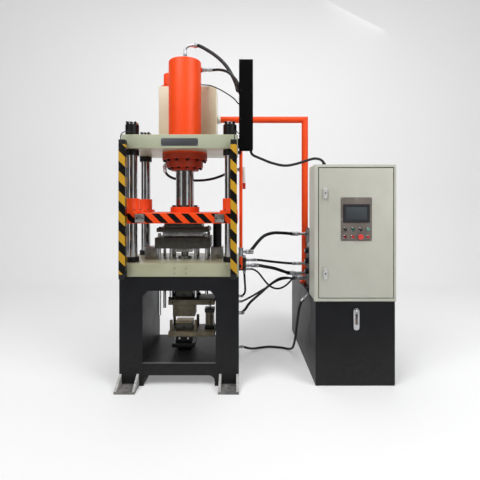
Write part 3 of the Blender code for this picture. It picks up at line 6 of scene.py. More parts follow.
import bpy
import numpy as np
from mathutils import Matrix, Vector


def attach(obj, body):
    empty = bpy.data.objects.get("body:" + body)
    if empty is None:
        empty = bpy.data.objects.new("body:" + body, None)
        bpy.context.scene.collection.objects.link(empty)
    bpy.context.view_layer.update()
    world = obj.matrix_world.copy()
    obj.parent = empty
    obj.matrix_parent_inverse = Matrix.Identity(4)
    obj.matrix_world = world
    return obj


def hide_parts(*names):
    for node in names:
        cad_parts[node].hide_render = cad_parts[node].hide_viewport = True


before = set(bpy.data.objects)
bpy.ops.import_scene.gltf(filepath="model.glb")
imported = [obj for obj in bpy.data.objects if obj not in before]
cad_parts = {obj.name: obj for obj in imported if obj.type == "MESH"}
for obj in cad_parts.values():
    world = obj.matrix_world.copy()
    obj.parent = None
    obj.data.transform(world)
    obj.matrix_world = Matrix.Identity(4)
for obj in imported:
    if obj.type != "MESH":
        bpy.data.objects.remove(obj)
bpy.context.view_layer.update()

# Camera
# A level view from in front of the gap between the press and its power unit, at a tall person's eye height.
# The lens and the shift put the column edges, the table and the cabinet's corners where the photograph has
# them.
PHOTO_SIDE = 480
FOCAL_PIXELS = 379
SENSOR = 36
EYE = (-0.137, -3.425, 1.361)
CENTRE_PIXELS = (239, 205)

lens = bpy.data.cameras.new("photo_camera")
lens.sensor_width = SENSOR
lens.lens = FOCAL_PIXELS / PHOTO_SIDE * SENSOR
lens.shift_x = (PHOTO_SIDE / 2 - CENTRE_PIXELS[0]) / PHOTO_SIDE
lens.shift_y = -(PHOTO_SIDE / 2 - CENTRE_PIXELS[1]) / PHOTO_SIDE
camera = bpy.data.objects.new("photo_camera", lens)
camera.location = EYE
camera.rotation_euler = (np.pi / 2, 0, 0)
bpy.context.scene.collection.objects.link(camera)
bpy.context.scene.camera = camera

# Hoses and control cable
# Rubber hoses with steel-crimped ends join the press to the valves and the tank, one cable runs to the
# cabinet, and a thin lead loops from each light curtain. Each is carried along its resting route, straight
# out of its first fitting.
ROUTES = {  # diameter, stiffness, how it lies, and the points of its route
    "top_hose": (0.029, "stiff", "hanging", (
        (-0.5037, -0.26, 2.6913), (-0.472, -0.26, 2.6913), (-0.436, -0.266, 2.672), (-0.36, -0.283, 2.62),
        (-0.292, -0.305, 2.559), (-0.234, -0.335, 2.485), (-0.19, -0.37, 2.4), (-0.164, -0.4, 2.335),
        (-0.1505, -0.418, 2.285),
    )),
    "side_hose": (0.022, "stiff", "hanging", (
        (-0.3877, -0.26, 2.4883), (-0.355, -0.26, 2.4883), (-0.31, -0.29, 2.48), (-0.268, -0.338, 2.458),
        (-0.225, -0.39, 2.425), (-0.188, -0.432, 2.38), (-0.163, -0.455, 2.343), (-0.148, -0.47, 2.312),
    )),
    "control_cable": (0.02, "medium", "hanging", (
        (-0.0437, -0.465, 1.835), (-0.0437, -0.465, 1.776), (-0.025, -0.472, 1.748), (0.041, -0.495, 1.716),
        (0.119, -0.505, 1.684), (0.217, -0.505, 1.6645), (0.31, -0.5, 1.68), (0.395, -0.49, 1.708),
        (0.45, -0.482, 1.722), (0.5, -0.472, 1.714), (0.526, -0.468, 1.688), (0.526, -0.468, 1.6667),
    )),
    "pressure_hose": (0.028, "stiff", "hanging", (
        (-0.0767, -0.225, 0.9663), (-0.058, -0.225, 0.9663), (-0.028, -0.214, 0.985),
        (0.025, -0.188, 1.048), (0.082, -0.155, 1.096), (0.16, -0.105, 1.116), (0.245, -0.045, 1.112),
        (0.32, 0.008, 1.103), (0.36, 0.025, 1.0998), (0.3927, 0.025, 1.0998),
    )),
    "lift_hose": (0.022, "stiff", "hanging", (
        (-0.0234, -0.0446, 0.8726), (0, -0.0446, 0.8726), (0.06, -0.036, 0.867), (0.12, -0.02, 0.857),
        (0.2, 0.002, 0.845), (0.29, 0.019, 0.834), (0.35, 0.025, 0.83), (0.3927, 0.025, 0.83),
    )),
    "lower_hose": (0.028, "stiff", "hanging", (
        (-0.0274, -0.1238, 0.8363), (-0.002, -0.1238, 0.8363), (0.05, -0.118, 0.832),
        (0.084, -0.112, 0.824), (0.162, -0.085, 0.806), (0.238, -0.045, 0.777), (0.285, -0.005, 0.756),
        (0.325, 0.025, 0.744), (0.3547, 0.025, 0.744),
    )),
    "loop_hose": (0.016, "medium", "hanging", (
        (-0.0774, -0.17, 0.812), (-0.055, -0.17, 0.812), (-0.016, -0.165, 0.808), (0.027, -0.158, 0.781),
        (0.063, -0.15, 0.736), (0.104, -0.14, 0.684), (0.152, -0.12, 0.643), (0.203, -0.098, 0.627),
        (0.253, -0.076, 0.636), (0.296, -0.055, 0.66), (0.332, -0.036, 0.692), (0.368, -0.02, 0.7151),
        (0.3997, -0.02, 0.7151),
    )),
    "ejector_hose": (0.021, "medium", "hanging", (
        (-0.1377, -0.29, 0.47), (-0.116, -0.29, 0.47), (-0.082, -0.28, 0.5), (-0.045, -0.262, 0.547),
        (0.041, -0.222, 0.613), (0.11, -0.18, 0.663), (0.17, -0.125, 0.694), (0.215, -0.07, 0.707),
        (0.26, -0.02, 0.708), (0.305, 0.018, 0.7), (0.36, 0.04, 0.6878), (0.3997, 0.04, 0.6878),
    )),
    "return_hose": (0.021, "medium", "loose", (
        (0.4123, -0.275, 0.5923), (0.397, -0.275, 0.577), (0.38, -0.268, 0.548), (0.366, -0.25, 0.49),
        (0.361, -0.21, 0.41), (0.361, -0.145, 0.3165), (0.361, -0.08, 0.205), (0.358, -0.015, 0.112),
        (0.35, 0.05, 0.05), (0.325, 0.115, 0.0175), (0.26, 0.165, 0.0113), (0.15, 0.185, 0.0113),
        (0.06, 0.16, 0.012), (-0.005, 0.1, 0.026), (-0.055, 0.035, 0.055), (-0.105, -0.015, 0.086),
        (-0.1377, -0.015, 0.086),
    )),
    "pilot_hose": (0.01, "medium", "hanging", (
        (-0.718, -0.035, 2.505), (-0.69, -0.035, 2.505), (-0.64, -0.04, 2.492), (-0.56, -0.052, 2.462),
        (-0.4916, -0.065, 2.4302), (-0.3887, -0.135, 2.3983), (-0.3149, -0.215, 2.3469),
        (-0.2526, -0.295, 2.2909), (-0.2017, -0.36, 2.2401), (-0.1672, -0.41, 2.1979),
        (-0.148, -0.44, 2.1644), (-0.134, -0.446, 2.1524),
    )),
    "gland_hose": (0.022, "stiff", "hanging", (
        (-0.76, -0.25, 1.68), (-0.76, -0.238, 1.659), (-0.756, -0.215, 1.634), (-0.74, -0.182, 1.611),
        (-0.71, -0.146, 1.594), (-0.668, -0.11, 1.585), (-0.608, -0.085, 1.579), (-0.528, -0.078, 1.577),
        (-0.448, -0.088, 1.579), (-0.368, -0.114, 1.59), (-0.298, -0.148, 1.609), (-0.238, -0.184, 1.632),
        (-0.188, -0.214, 1.65), (-0.16, -0.224, 1.657), (-0.1355, -0.225, 1.659),
    )),
    "drop_hose": (0.018, "stiff", "hanging", (
        (-0.09, -0.1, 0.8), (-0.09, -0.1, 0.78), (-0.089, -0.1, 0.74), (-0.086, -0.1, 0.69),
        (-0.083, -0.1, 0.64), (-0.083, -0.1, 0.608), (-0.09, -0.1, 0.583), (-0.105, -0.1, 0.568),
        (-0.125, -0.1, 0.563), (-0.1377, -0.1, 0.563),
    )),
    "drain_hose": (0.016, "medium", "hanging", (
        (-0.1377, -0.18, 0.535), (-0.12, -0.18, 0.536), (-0.09, -0.179, 0.546), (-0.05, -0.176, 0.566),
        (0, -0.17, 0.593), (0.05, -0.16, 0.621), (0.1, -0.145, 0.647), (0.15, -0.12, 0.674),
        (0.2, -0.085, 0.693), (0.25, -0.045, 0.701), (0.3, -0.015, 0.702), (0.35, 0.006, 0.701),
        (0.38, 0.01, 0.701), (0.3997, 0.01, 0.701),
    )),
    "left_curtain_lead": (0.007, "limp", "hanging", (
        (-1.016, -0.611, 1.844), (-1.016, -0.611, 1.872), (-1.009, -0.606, 1.894), (-0.99, -0.596, 1.908),
        (-0.965, -0.578, 1.911), (-0.942, -0.552, 1.906), (-0.924, -0.525, 1.9), (-0.906, -0.49, 1.8992),
        (-0.892, -0.455, 1.8992), (-0.886, -0.425, 1.899), (-0.885, -0.412, 1.896), (-0.885, -0.408, 1.89),
    )),
    "right_curtain_lead": (0.007, "limp", "hanging", (
        (-0.17, -0.611, 1.844), (-0.17, -0.611, 1.87), (-0.169, -0.599, 1.896), (-0.166, -0.574, 1.916),
        (-0.161, -0.542, 1.926), (-0.153, -0.505, 1.926), (-0.144, -0.479, 1.921), (-0.135, -0.468, 1.917),
    )),
}
ROUTE_STEPS = 24
# Crimped sleeve at each end, in diameters
SLEEVE_LENGTH, SHORT_SLEEVE = 2.2, {"top_hose": 0.6, "side_hose": 1.3}
SLEEVE_WIDTH = 1.34
RUBBER, RUBBER_DUST = "#0A0A0B", "#1A1B1C"
SMOOTH_ANGLE = np.radians(32)
SLOTS = {  # a slot name for each finish, unless a piece names another; it is looked up but not given to the piece
    "zinc_plated_steel": "ground_steel", "ground_tool_steel": "ground_steel",
    "black_oxide_on_steel": "black_oxide",
    "hard_chrome_on_ground_steel": "chrome", "oiled_hardened_tool_steel": "tool_steel",
    "olive_brown_primer": "olive_primer", "extruded_nitrile_rubber": "hose_rubber",
    "orange_alkyd_enamel": "orange_paint", "orange_alkyd_enamel_with_painted_shade_below": "orange_paint",
    "cream_alkyd_enamel": "cream_paint", "dark_grey_alkyd_enamel": "dark_paint",
    "blue_grey_alkyd_enamel": "motor_paint", "pale_grey_green_powder_coat": "pale_paint",
    "moulded_black_plastic": "black_plastic", "black_painted_cast_iron": "cast_black",
}


def linear(code):
    """An sRGB hex colour as linear RGBA: c/12.92 up to 0.04045, and ((c + 0.055)/1.055)^2.4 above."""
    srgb = np.array([int(code[i:i + 2], 16) for i in (1, 3, 5)]) / 255
    rgb = np.where(srgb <= 0.04045, srgb / 12.92, ((srgb + 0.055) / 1.055) ** 2.4)
    return (*(float(c) for c in rgb), 1.0)


def add(tree, kind, feeds=None, **settings):
    """Adds a node; feeds gives each input a value, a hex colour, or the output that is linked to it."""
    made = tree.nodes.new(kind)
    for key, value in settings.items():
        setattr(made, key, value)
    for key, value in (feeds or {}).items():
        if isinstance(value, bpy.types.NodeSocket):
            tree.links.new(value, made.inputs[key])
        else:
            made.inputs[key].default_value = linear(value) if isinstance(value, str) else value
    return made


def surface(name, code, roughness, metallic=0.0, **sockets):
    """Starts a material: its tree, its shader with the uniform values on its own sockets, and Object
    coordinates."""
    made = bpy.data.materials.new(name)
    made.use_nodes = True
    shader = made.node_tree.nodes["Principled BSDF"]
    shader.inputs["Base Color"].default_value = linear(code)
    shader.inputs["Roughness"].default_value = roughness
    shader.inputs["Metallic"].default_value = metallic
    for key, value in sockets.items():
        shader.inputs[key.replace("_", " ")].default_value = value
    made.diffuse_color = linear(code)
    return made, made.node_tree, shader, add(made.node_tree, "ShaderNodeTexCoord").outputs["Object"]


def patches(tree, where, codes, size, low, high):
    """A colour that wanders between two tones: noise of a given size in metres, through a ramp with two
    stops."""
    noise = add(tree, "ShaderNodeTexNoise", {"Vector": where, "Scale": 1 / size, "Detail": 4.0})
    ramp = add(tree, "ShaderNodeValToRGB", {"Fac": noise.outputs["Fac"]})
    for stop, position, code in zip(ramp.color_ramp.elements, (low, high), codes):
        stop.position, stop.color = position, linear(code)
    return ramp.outputs["Color"]


def relief(tree, shader, where, size, depth, strength=0.3):
    """Fine unevenness: noise of a given size and depth in metres, as a bump in the shader's normal."""
    noise = add(tree, "ShaderNodeTexNoise", {"Vector": where, "Scale": 1 / size, "Detail": 2.0})
    bump = add(tree, "ShaderNodeBump",
               {"Height": noise.outputs["Fac"], "Distance": depth, "Strength": strength})
    tree.links.new(bump.outputs["Normal"], shader.inputs["Normal"])


def worn_gloss(tree, shader, where, size, low, high):
    """Roughness that wanders between two values, as handling and dust leave it."""
    noise = add(tree, "ShaderNodeTexNoise", {"Vector": where, "Scale": 1 / size, "Detail": 5.0})
    spread = add(tree, "ShaderNodeMapRange", {"Value": noise.outputs["Fac"], "To Min": low, "To Max": high})
    tree.links.new(spread.outputs["Result"], shader.inputs["Roughness"])


def ground_lines(tree, shader, where, scale, detail, low, high):
    """Parallel lines, as grinding and brushing leave them: noise drawn out across an axis, in the
    roughness."""
    drawn = add(tree, "ShaderNodeMapping", {"Vector": where, "Scale": scale})
    noise = add(tree, "ShaderNodeTexNoise",
                {"Vector": drawn.outputs["Vector"], "Scale": 1.0, "Detail": detail})
    feeds = {"Value": noise.outputs["Fac"], "From Min": 0.3, "From Max": 0.7, "To Min": low, "To Max": high}
    tree.links.new(add(tree, "ShaderNodeMapRange", feeds).outputs["Result"], shader.inputs["Roughness"])


def along(tree, where, axis, low, high, first=0.0, last=1.0):
    """A share that goes from first to last between two levels on an axis, and holds there."""
    level = add(tree, "ShaderNodeSeparateXYZ", {"Vector": where}).outputs[axis]
    feeds = {"Value": level, "From Min": low, "From Max": high, "To Min": first, "To Max": last}
    return add(tree, "ShaderNodeMapRange", feeds).outputs["Result"]


def worked(tree, value, *sums):
    """A value after a row of sums, each an operation and its second number."""
    for operation, second in sums:
        value = add(tree, "ShaderNodeMath", {0: value, 1: second}, operation=operation).outputs[0]
    return value


def layered(tree, tone, *layers):
    """A colour with others laid over it in turn, each a share that it covers and its colour."""
    for share, colour in layers:
        tone = add(tree, "ShaderNodeMix", {"Factor": share, 6: tone, 7: colour},
                   data_type="RGBA").outputs[2]
    return tone


def finish(name, code, roughness, metallic=0.0, tones=None, bumps=None, gloss=None, lines=None, **sockets):
    """A material with the usual finish: what patches, relief, worn_gloss and ground_lines take, where it's
    given."""
    made, tree, shader, where = surface(name, code, roughness, metallic, **sockets)
    if tones:
        tree.links.new(patches(tree, where, *tones), shader.inputs["Base Color"])
    for pattern, given in ((relief, bumps), (worn_gloss, gloss), (ground_lines, lines)):
        if given:
            pattern(tree, shader, where, *given)
    return made


# Extruded nitrile rubber: near black, satin, with a film of workshop dust that greys it in patches.
hose_rubber = finish("extruded_nitrile_rubber", RUBBER, 0.48,
                     tones=((RUBBER, RUBBER_DUST), 0.055, 0.42, 0.75), bumps=(0.0012, 0.0004),
                     Specular_IOR_Level=0.4)

# Zinc-plated steel: a pale, slightly blue metal with soft streaks, on every hose end and fitting.
zinc_plate = finish("zinc_plated_steel", "#B9BCC0", 0.30, 1.0,
                    tones=(("#9C9FA3", "#C9CCD0"), 0.020, 0.35, 0.65), gloss=(0.010, 0.22, 0.42))


def smooth_route(points, spacing):
    """Straight leads at both ends, and evenly spaced points on a Catmull-Rom curve through the route
    between them."""
    own = np.array(points)
    t = np.linspace(0, 1, ROUTE_STEPS, endpoint=False)[:, None]
    a, b, c, d = own[:-3, None], own[1:-2, None], own[2:-1, None], own[3:, None]
    bends = (2 * b + (c - a) * t + (2 * a - 5 * b + 4 * c - d) * t**2 + (3 * b - a - 3 * c + d) * t**3) / 2
    fine = np.vstack([bends.reshape(-1, 3), own[-2:-1]])
    run = np.concatenate([[0], np.cumsum(np.linalg.norm(np.diff(fine, axis=0), axis=1))])
    wanted = np.linspace(0, run[-1], round(run[-1] / spacing) + 1)
    even = np.column_stack([np.interp(wanted, run, fine[:, axis]) for axis in range(3)])
    return np.vstack([own[:1], even, own[-1:]])


def faces_of(rings, closed=False):
    """Quads between neighbouring rings of a grid, and one flat face on each end ring unless the rings
    close up."""
    count, around = rings.shape[:2]
    index = np.arange(count * around).reshape(count, around)
    rows = index if closed else index[:-1]
    above = np.roll(index, -1, axis=0) if closed else index[1:]
    side = np.stack([rows, np.roll(rows, -1, axis=1), np.roll(above, -1, axis=1), above],
                    axis=-1).reshape(-1, 4)
    ends = [] if closed else [tuple(index[0, ::-1]), tuple(index[-1])]
    return [tuple(quad) for quad in side.tolist()] + [tuple(int(i) for i in end) for end in ends]


def shaped(name, parts, material, body="frame", node=(), slot=None, closed=False):
    """One piece from grids of rings, each a closed outline carried along a line, rolled smooth up to an
    angle."""
    vertices, faces, start = [], [], 0
    for rings in parts:
        faces += [tuple(i + start for i in face) for face in faces_of(rings, closed)]
        vertices.append(rings.reshape(-1, 3))
        start += rings.shape[0] * rings.shape[1]
    mesh = bpy.data.meshes.new(name)
    mesh.from_pydata(np.vstack(vertices).tolist(), [], faces)
    mesh.materials.append(material)
    mesh.shade_smooth()
    mesh.set_sharp_from_angle(angle=SMOOTH_ANGLE)
    made = bpy.data.objects.new(name, mesh)
    bpy.context.scene.collection.objects.link(made)
    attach(made, body)
    if node:
        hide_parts(*([node] if isinstance(node, str) else node))
    slot or SLOTS[material.name]
    return made


def turned(profile, start, direction=(0, 0, 1), sides=48):
    """Rings of a lathe: for (height h, radius r) a circle start + h*d + r*(cos a*u + sin a*v), u, v across d.

    A third number chamfers the corner: on top where the profile comes up to it, and else underneath.
    """
    d = np.array(direction, float) / np.linalg.norm(direction)
    u = np.cross((0, 1, 0) if abs(d[1]) < 0.9 else (0, 0, 1), d)
    u /= np.linalg.norm(u)
    v = np.cross(d, u)
    angles = np.linspace(0, 2 * np.pi, sides, endpoint=False)
    circle = np.cos(angles)[:, None] * u + np.sin(angles)[:, None] * v
    points = []
    for h, r, *chamfer in profile:
        if not chamfer:
            points.append((h, r))
        elif points and points[-1][0] < h:
            points += [(h - chamfer[0], r), (h, r - chamfer[0])]
        else:
            points += [(h, r - chamfer[0]), (h + chamfer[0], r)]
    heights, radii = np.array(points, float).T
    return np.array(start) + heights[:, None, None] * d + radii[:, None, None] * circle


CORNERS = [(-1, -1), (-1, 1), (1, -1), (1, 1)]
FRONT, REAR, LEFT, RIGHT, DOWN = (0, -1, 0), (0, 1, 0), (-1, 0, 0), (1, 0, 0), (0, 0, -1)
GAP = 0.0003  # the joint between two pieces of the CAD
ON_LID = 0.6353  # the level of what stands on the oil tank
FITTED_ENDS = {"top_hose": 1, "side_hose": 1, "control_cable": 0, "pilot_hose": 1, "left_curtain_lead": 0,
               "right_curtain_lead": 0}  # the other ends go into the duct bare
sleeves, unions = [], []
for name, (diameter, stiffness, lay, points) in ROUTES.items():
    line = smooth_route(points, diameter)
    curve = bpy.data.curves.new(name + "_line", "CURVE")
    curve.dimensions = "3D"
    curve.bevel_depth = diameter / 2
    curve.bevel_resolution = 6
    curve.use_fill_caps = True
    spline = curve.splines.new("POLY")
    spline.points.add(len(line) - 1)
    spline.points.foreach_set("co", np.column_stack([line, np.ones(len(line))]).ravel())
    spline.use_smooth = True
    curve.materials.append(hose_rubber)
    piece = bpy.data.objects.new(name + "_rubber", curve)
    bpy.context.scene.collection.objects.link(piece)
    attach(piece, "frame")
    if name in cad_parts:
        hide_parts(name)
    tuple(points[0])
    for end, inward in ((line[0], line[1] - line[0]),
                        (line[-1], line[-2] - line[-1]))[:FITTED_ENDS.get(name, 2)]:
        inward = inward / np.linalg.norm(inward)
        r, reach = diameter / 2, diameter * SHORT_SLEEVE.get(name, SLEEVE_LENGTH)
        sleeve = ((0, r * 1.02), (0, r * SLEEVE_WIDTH), (reach * 0.25, r * SLEEVE_WIDTH),
                  (reach * 0.30, r * 1.22),
                  (reach * 0.36, r * SLEEVE_WIDTH), (reach * 0.94, r * SLEEVE_WIDTH), (reach, r * 1.10),
                  (reach, r * 1.02))
        sleeves.append(turned(sleeve, end, inward, 28))
        nut = ((-diameter * 0.25, r * 1.30), (-diameter * 0.20, r * 1.42), (diameter * 0.30, r * 1.42),
               (diameter * 0.35, r * 1.30))
        unions.append(turned(nut, end, inward, 6))
shaped("hose_sleeves", sleeves, zinc_plate)
shaped("hose_union_nuts", unions, zinc_plate)

# Floor, backdrop and light
# A pale painted floor that sweeps up into the backdrop, under broad soft lamps, as in a product studio. The
# sweep shows paler to the camera and to glossy metal than it lights, so that the object keeps its own
# shadow.
FLOOR_CODE, FLOOR_GLOW = "#DEDFE0", 0.22
ROOM_GLOW = (  # once round the horizon, from the left: share of a turn, colour
    (0.00, "#453C38"), (1.00, "#453C38"), (0.075, "#4A413D"), (0.10, "#F6F7F8"), (0.145, "#F6F7F8"),
    (0.18, "#564A45"),
    (0.31, "#564A45"), (0.34, "#F0F1F2"), (0.375, "#F0F1F2"), (0.41, "#4A413D"), (0.54, "#453C38"),
    (0.62, "#7E7F81"),
    (0.88, "#7E7F81"), (0.95, "#453C38"),
)
SWEEP_START, SWEEP_R, SWEEP_TOP, SWEEP_HALF = 2.6, 1.6, 6.0, 9.0

floor_paint, tree, shader, where = surface("matt_floor_paint", FLOOR_CODE, 0.75, Specular_IOR_Level=0.25)
worn_gloss(tree, shader, where, 0.35, 0.68, 0.85)
seen = add(tree, "ShaderNodeLightPath")
glow = worked(tree, seen.outputs["Is Camera Ray"], ("MAXIMUM", seen.outputs["Is Glossy Ray"]),
              ("MAXIMUM", seen.outputs["Is Transmission Ray"]), ("MULTIPLY", FLOOR_GLOW))
shader.inputs["Emission Color"].default_value = linear("#FFFFFF")
tree.links.new(glow, shader.inputs["Emission Strength"])
angles = np.linspace(0, np.pi / 2, 13)
sweep = [(-9.0, -0.0006),
         *zip(SWEEP_START + SWEEP_R * np.sin(angles), SWEEP_R * (1 - np.cos(angles)) - 0.0006),
         (SWEEP_START + SWEEP_R, SWEEP_TOP)]
edge = np.array(sweep)
grid = np.stack([np.column_stack([np.full(len(edge), x), edge]) for x in (-SWEEP_HALF, SWEEP_HALF)])
mesh = bpy.data.meshes.new("studio_sweep")
count = len(edge)
mesh.from_pydata(grid.reshape(-1, 3).tolist(), [],
                 [(i, i + count, i + count + 1, i + 1) for i in range(count - 1)])
mesh.materials.append(floor_paint)
mesh.shade_smooth()
studio = bpy.data.objects.new("studio_sweep", mesh)
bpy.context.scene.collection.objects.link(studio)

for name, place, aim, size, power in (
    ("key_softbox", (-2.8, -3.9, 5.8), (-0.2, 0, 1.1), 3.0, 198),
    ("fill_softbox", (3.7, -3.4, 4.9), (0.2, 0, 1.1), 3.2, 176),
    ("top_softbox", (0.0, 0.2, 5.6), (0, 0, 0), 3.6, 90),
    ("rear_softbox", (1.5, 5.0, 4.2), (0, 0, 1.2), 3.0, 60),
):
    lamp = bpy.data.lights.new(name, "AREA")
    lamp.energy, lamp.size = power, size
    holder = bpy.data.objects.new(name, lamp)
    holder.location = place
    holder.rotation_euler = (Vector(aim) - Vector(place)).to_track_quat("-Z", "Y").to_euler()
    bpy.context.scene.collection.objects.link(holder)
world = bpy.data.worlds.new("studio_air")
world.use_nodes = True
air = world.node_tree
ray = add(air, "ShaderNodeSeparateXYZ", {0: add(air, "ShaderNodeTexCoord").outputs["Generated"]})
bearing = worked(air, ray.outputs["Y"], ("ARCTAN2", ray.outputs["X"]))
round_the_room = add(air, "ShaderNodeMapRange", {"Value": bearing, "From Min": -np.pi, "From Max": np.pi})
glow = add(air, "ShaderNodeValToRGB", {"Fac": round_the_room.outputs["Result"]})
stops = glow.color_ramp.elements
for i, (place, code) in enumerate(ROOM_GLOW):
    stop = stops[i] if i < 2 else stops.new(place)
    stop.position, stop.color = place, linear(code)
straight = add(air, "ShaderNodeLightPath").outputs["Is Camera Ray"]
backdrop = layered(air, glow.outputs["Color"], (straight, FLOOR_CODE))
air.links.new(backdrop, air.nodes["Background"].inputs["Color"])
bpy.context.scene.world = world
bpy.context.scene.view_settings.view_transform = "Standard"

# Base frame
# The welded box of thick plate that everything stands on, sprayed with dark grey enamel. Its foot plates
# and ribs are bare steel, the ribs a paler grey as a painted highlight, a painted highlight runs along the
# window's lower edge, and a fillet weld runs along each foot.
PRESS_X, PRESS_Y = -0.588, -0.260
BASE_FRONT, BASE_REAR = -0.575, 0.055
FOOT_X, FOOT_HALF, FOOT_TOP, FOOT_FACE = 0.375, 0.075, 0.016, 0.315
SILL_X, SILL_Z = (-0.8635, -0.3125), (0.1685, 0.1740)  # the window's lower edge, with a paler strip along it as a painted highlight


def at_press(x, y, z=0.0):
    """A place given from the press's axis, in the machine's frame."""
    return (PRESS_X + x, PRESS_Y + y, z)


AXIS = at_press(0, 0)

# Alkyd enamel, sprayed: smooth, semi-gloss, with faint orange peel, and a bloom of dust towards the floor.
dark_enamel, tree, shader, where = surface("dark_grey_alkyd_enamel", "#131417", 0.45,
                                           Specular_IOR_Level=0.2)
tone = patches(tree, where, ("#0F1013", "#16171A"), 0.22, 0.35, 0.70)
speckle = add(tree, "ShaderNodeTexNoise", {"Vector": where, "Scale": 30.0, "Detail": 6.0}).outputs["Fac"]
dusty = worked(tree, along(tree, where, "Z", 0.0, 0.45, 0.55, 0.0), ("MULTIPLY", speckle))
behind = along(tree, where, "Y", BASE_REAR + 0.0004, BASE_REAR + 0.0012)
on_press = along(tree, where, "X", 0.0, 0.1, 1.0, 0.0)
feet = worked(tree, along(tree, where, "Y", BASE_FRONT - 0.0012, BASE_FRONT - 0.0004, 1.0, 0.0),
              ("MAXIMUM", behind), ("MULTIPLY", on_press))
# The ribs above the foot plates take a paler grey over the bare steel: a painted highlight.
rib_highlight = patches(tree, where, ("#8B8A8A", "#C4C3C1"), 0.012, 0.30, 0.60)
bare = layered(tree, patches(tree, where, ("#626160", "#8A8884"), 0.06, 0.35, 0.65),
               (along(tree, where, "Z", FOOT_TOP + 0.0002, FOOT_TOP + 0.0012), rib_highlight))
# A thin paler grey strip along the window's lower front edge: a painted highlight.
sill_highlight = 1.0
for axis, start, end in (("X", *SILL_X), ("Y", BASE_FRONT - 0.001, BASE_FRONT + 0.018), ("Z", *SILL_Z)):
    past = along(tree, where, axis, start, start + 0.0003)
    short = along(tree, where, axis, end - 0.0003, end, 1.0, 0.0)
    sill_highlight = worked(tree, past, ("MULTIPLY", short), ("MULTIPLY", sill_highlight))
tone = layered(tree, tone, (dusty, "#3A3936"), (feet, bare), (sill_highlight, "#5C5B5E"))
tree.links.new(tone, shader.inputs["Base Color"])
relief(tree, shader, where, 0.004, 0.0006, 0.25)
worn_gloss(tree, shader, where, 0.12, 0.36, 0.52)
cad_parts["base_frame"].material_slots[0].material = dark_enamel

# Scale-blackened weld metal, a row of ripples a few millimetres apart, painted over.
weld_metal = finish("painted_weld_bead", "#2C2E31", 0.45, bumps=(0.004, 0.002, 0.8))


def carried(path, radius, across, sides=24):
    """Rings of a pipe: at each point p of a path with direction t, p + r*(cos a*u + sin a*v), u and v
    square to t."""
    path = np.array(path, float)
    t = np.gradient(path, axis=0)
    t /= np.linalg.norm(t, axis=1)[:, None]
    u = np.array(across, float) - (t @ np.array(across, float))[:, None] * t
    u /= np.linalg.norm(u, axis=1)[:, None]
    v = np.cross(t, u)
    angles = np.linspace(0, 2 * np.pi, sides, endpoint=False)
    radii = np.broadcast_to(np.array(radius, float), (len(path),))[:, None, None]
    spokes = np.cos(angles)[None, :, None] * u[:, None] + np.sin(angles)[None, :, None] * v[:, None]
    return path[:, None] + radii * spokes


def rippled(start, end, radius, pitch=0.006):
    """Rings of a weld bead: a straight round whose radius swells and shrinks by a sixth, once every
    pitch."""
    start, end = np.array(start, float), np.array(end, float)
    length = np.linalg.norm(end - start)
    steps = max(3, int(length / pitch * 4))
    share = np.linspace(0, 1, steps)[:, None]
    swell = radius * (1 + np.sin(share[:, 0] * length / pitch * 2 * np.pi) / 6)
    across = (0, 0, 1) if abs((end - start)[2]) < length / 2 else (1, 0, 0)
    return carried(start + (end - start) * share, swell, across, 8)


beads = []
for side, end in CORNERS:
    ends = (at_press(side * FOOT_X + half, end * FOOT_FACE, FOOT_TOP) for half in (-FOOT_HALF, FOOT_HALF))
    beads.append(rippled(*ends, 0.005))
shaped("foot_welds", beads, weld_metal, slot="dark_paint")


def rounded_box(low, high, edge=0.003, corner=0.0, turns=4):
    """Rings of a box with rolled edges: a rectangle with round corners, drawn in by e*(1 - sin t) at e*(1
    - cos t)."""
    low, high = np.array(low, float), np.array(high, float)
    corner = max(corner, edge * 1.25)
    middle, half = (low + high)[:2] / 2, (high - low)[:2] / 2
    t = np.linspace(0, np.pi / 2, 4)
    inset = np.concatenate([edge * (1 - np.sin(t)), edge * (1 - np.sin(t[::-1]))])
    rise = edge * (1 - np.cos(t))
    height = np.concatenate([low[2] + rise, high[2] - rise[::-1]])
    angles = (np.arange(4)[:, None] + np.linspace(0, 1, turns + 1)) * np.pi / 2
    signs = np.array([(1, 1), (-1, 1), (-1, -1), (1, -1)])
    spokes = np.stack([np.cos(angles), np.sin(angles)], axis=-1)
    centres = (signs * (half - corner))[:, None]
    ring = centres + (corner - inset)[:, None, None, None] * spokes
    ring = ring.reshape(len(inset), -1, 2) + middle
    return np.concatenate([ring, np.broadcast_to(height[:, None, None], (*ring.shape[:2], 1))], axis=-1)


def press_box(x0, x1, y0, y1, z0, z1, edge=0.003, corner=0.0):
    """A rounded box given from the press's axis."""
    return rounded_box(at_press(x0, y0, z0), at_press(x1, y1, z1), edge, corner)


def drum(low, high, radius):
    """The profile of a round bar between two levels, with a 2 mm chamfer on both ends."""
    return (low, radius, 0.002), (high, radius, 0.002)


def hexagon(place, radius, height, direction=(0, 0, 1)):
    """Rings of a hexagon head: six sides, chamfered at the free end."""
    edge = radius * 0.12
    profile = ((0, radius), (height - edge, radius), (height, radius - edge * 1.6))
    return turned(profile, place, direction, 6)


def socket_head(place, radius, height, direction=(0, 0, 1)):
    """Rings of a socket head screw: a round head with a rolled rim and a hollow half its width."""
    rim = radius * 0.12
    profile = ((0, radius), (height - rim, radius), (height, radius - rim), (height, radius * 0.55),
               (height * 0.45, radius * 0.5))
    return turned(profile, place, direction, 18)


# Table
# A thick ground-top slab of steel plate on the base, brushed with grey-green enamel. Tapped holes for a
# work guard are in the front edge.
TABLE_LOW, TABLE_TOP = 0.8203, 0.9203
SAGE, SAGE_DARK, TABLE_CODE, TABLE_DARK = "#AEB39A", "#9EA38A", "#A9AB8F", "#989A7D"
TAPPED_X, TAPPED_Z, TAPPED_R = (-0.034, 0.052), (0.846, 0.8835), 0.0065


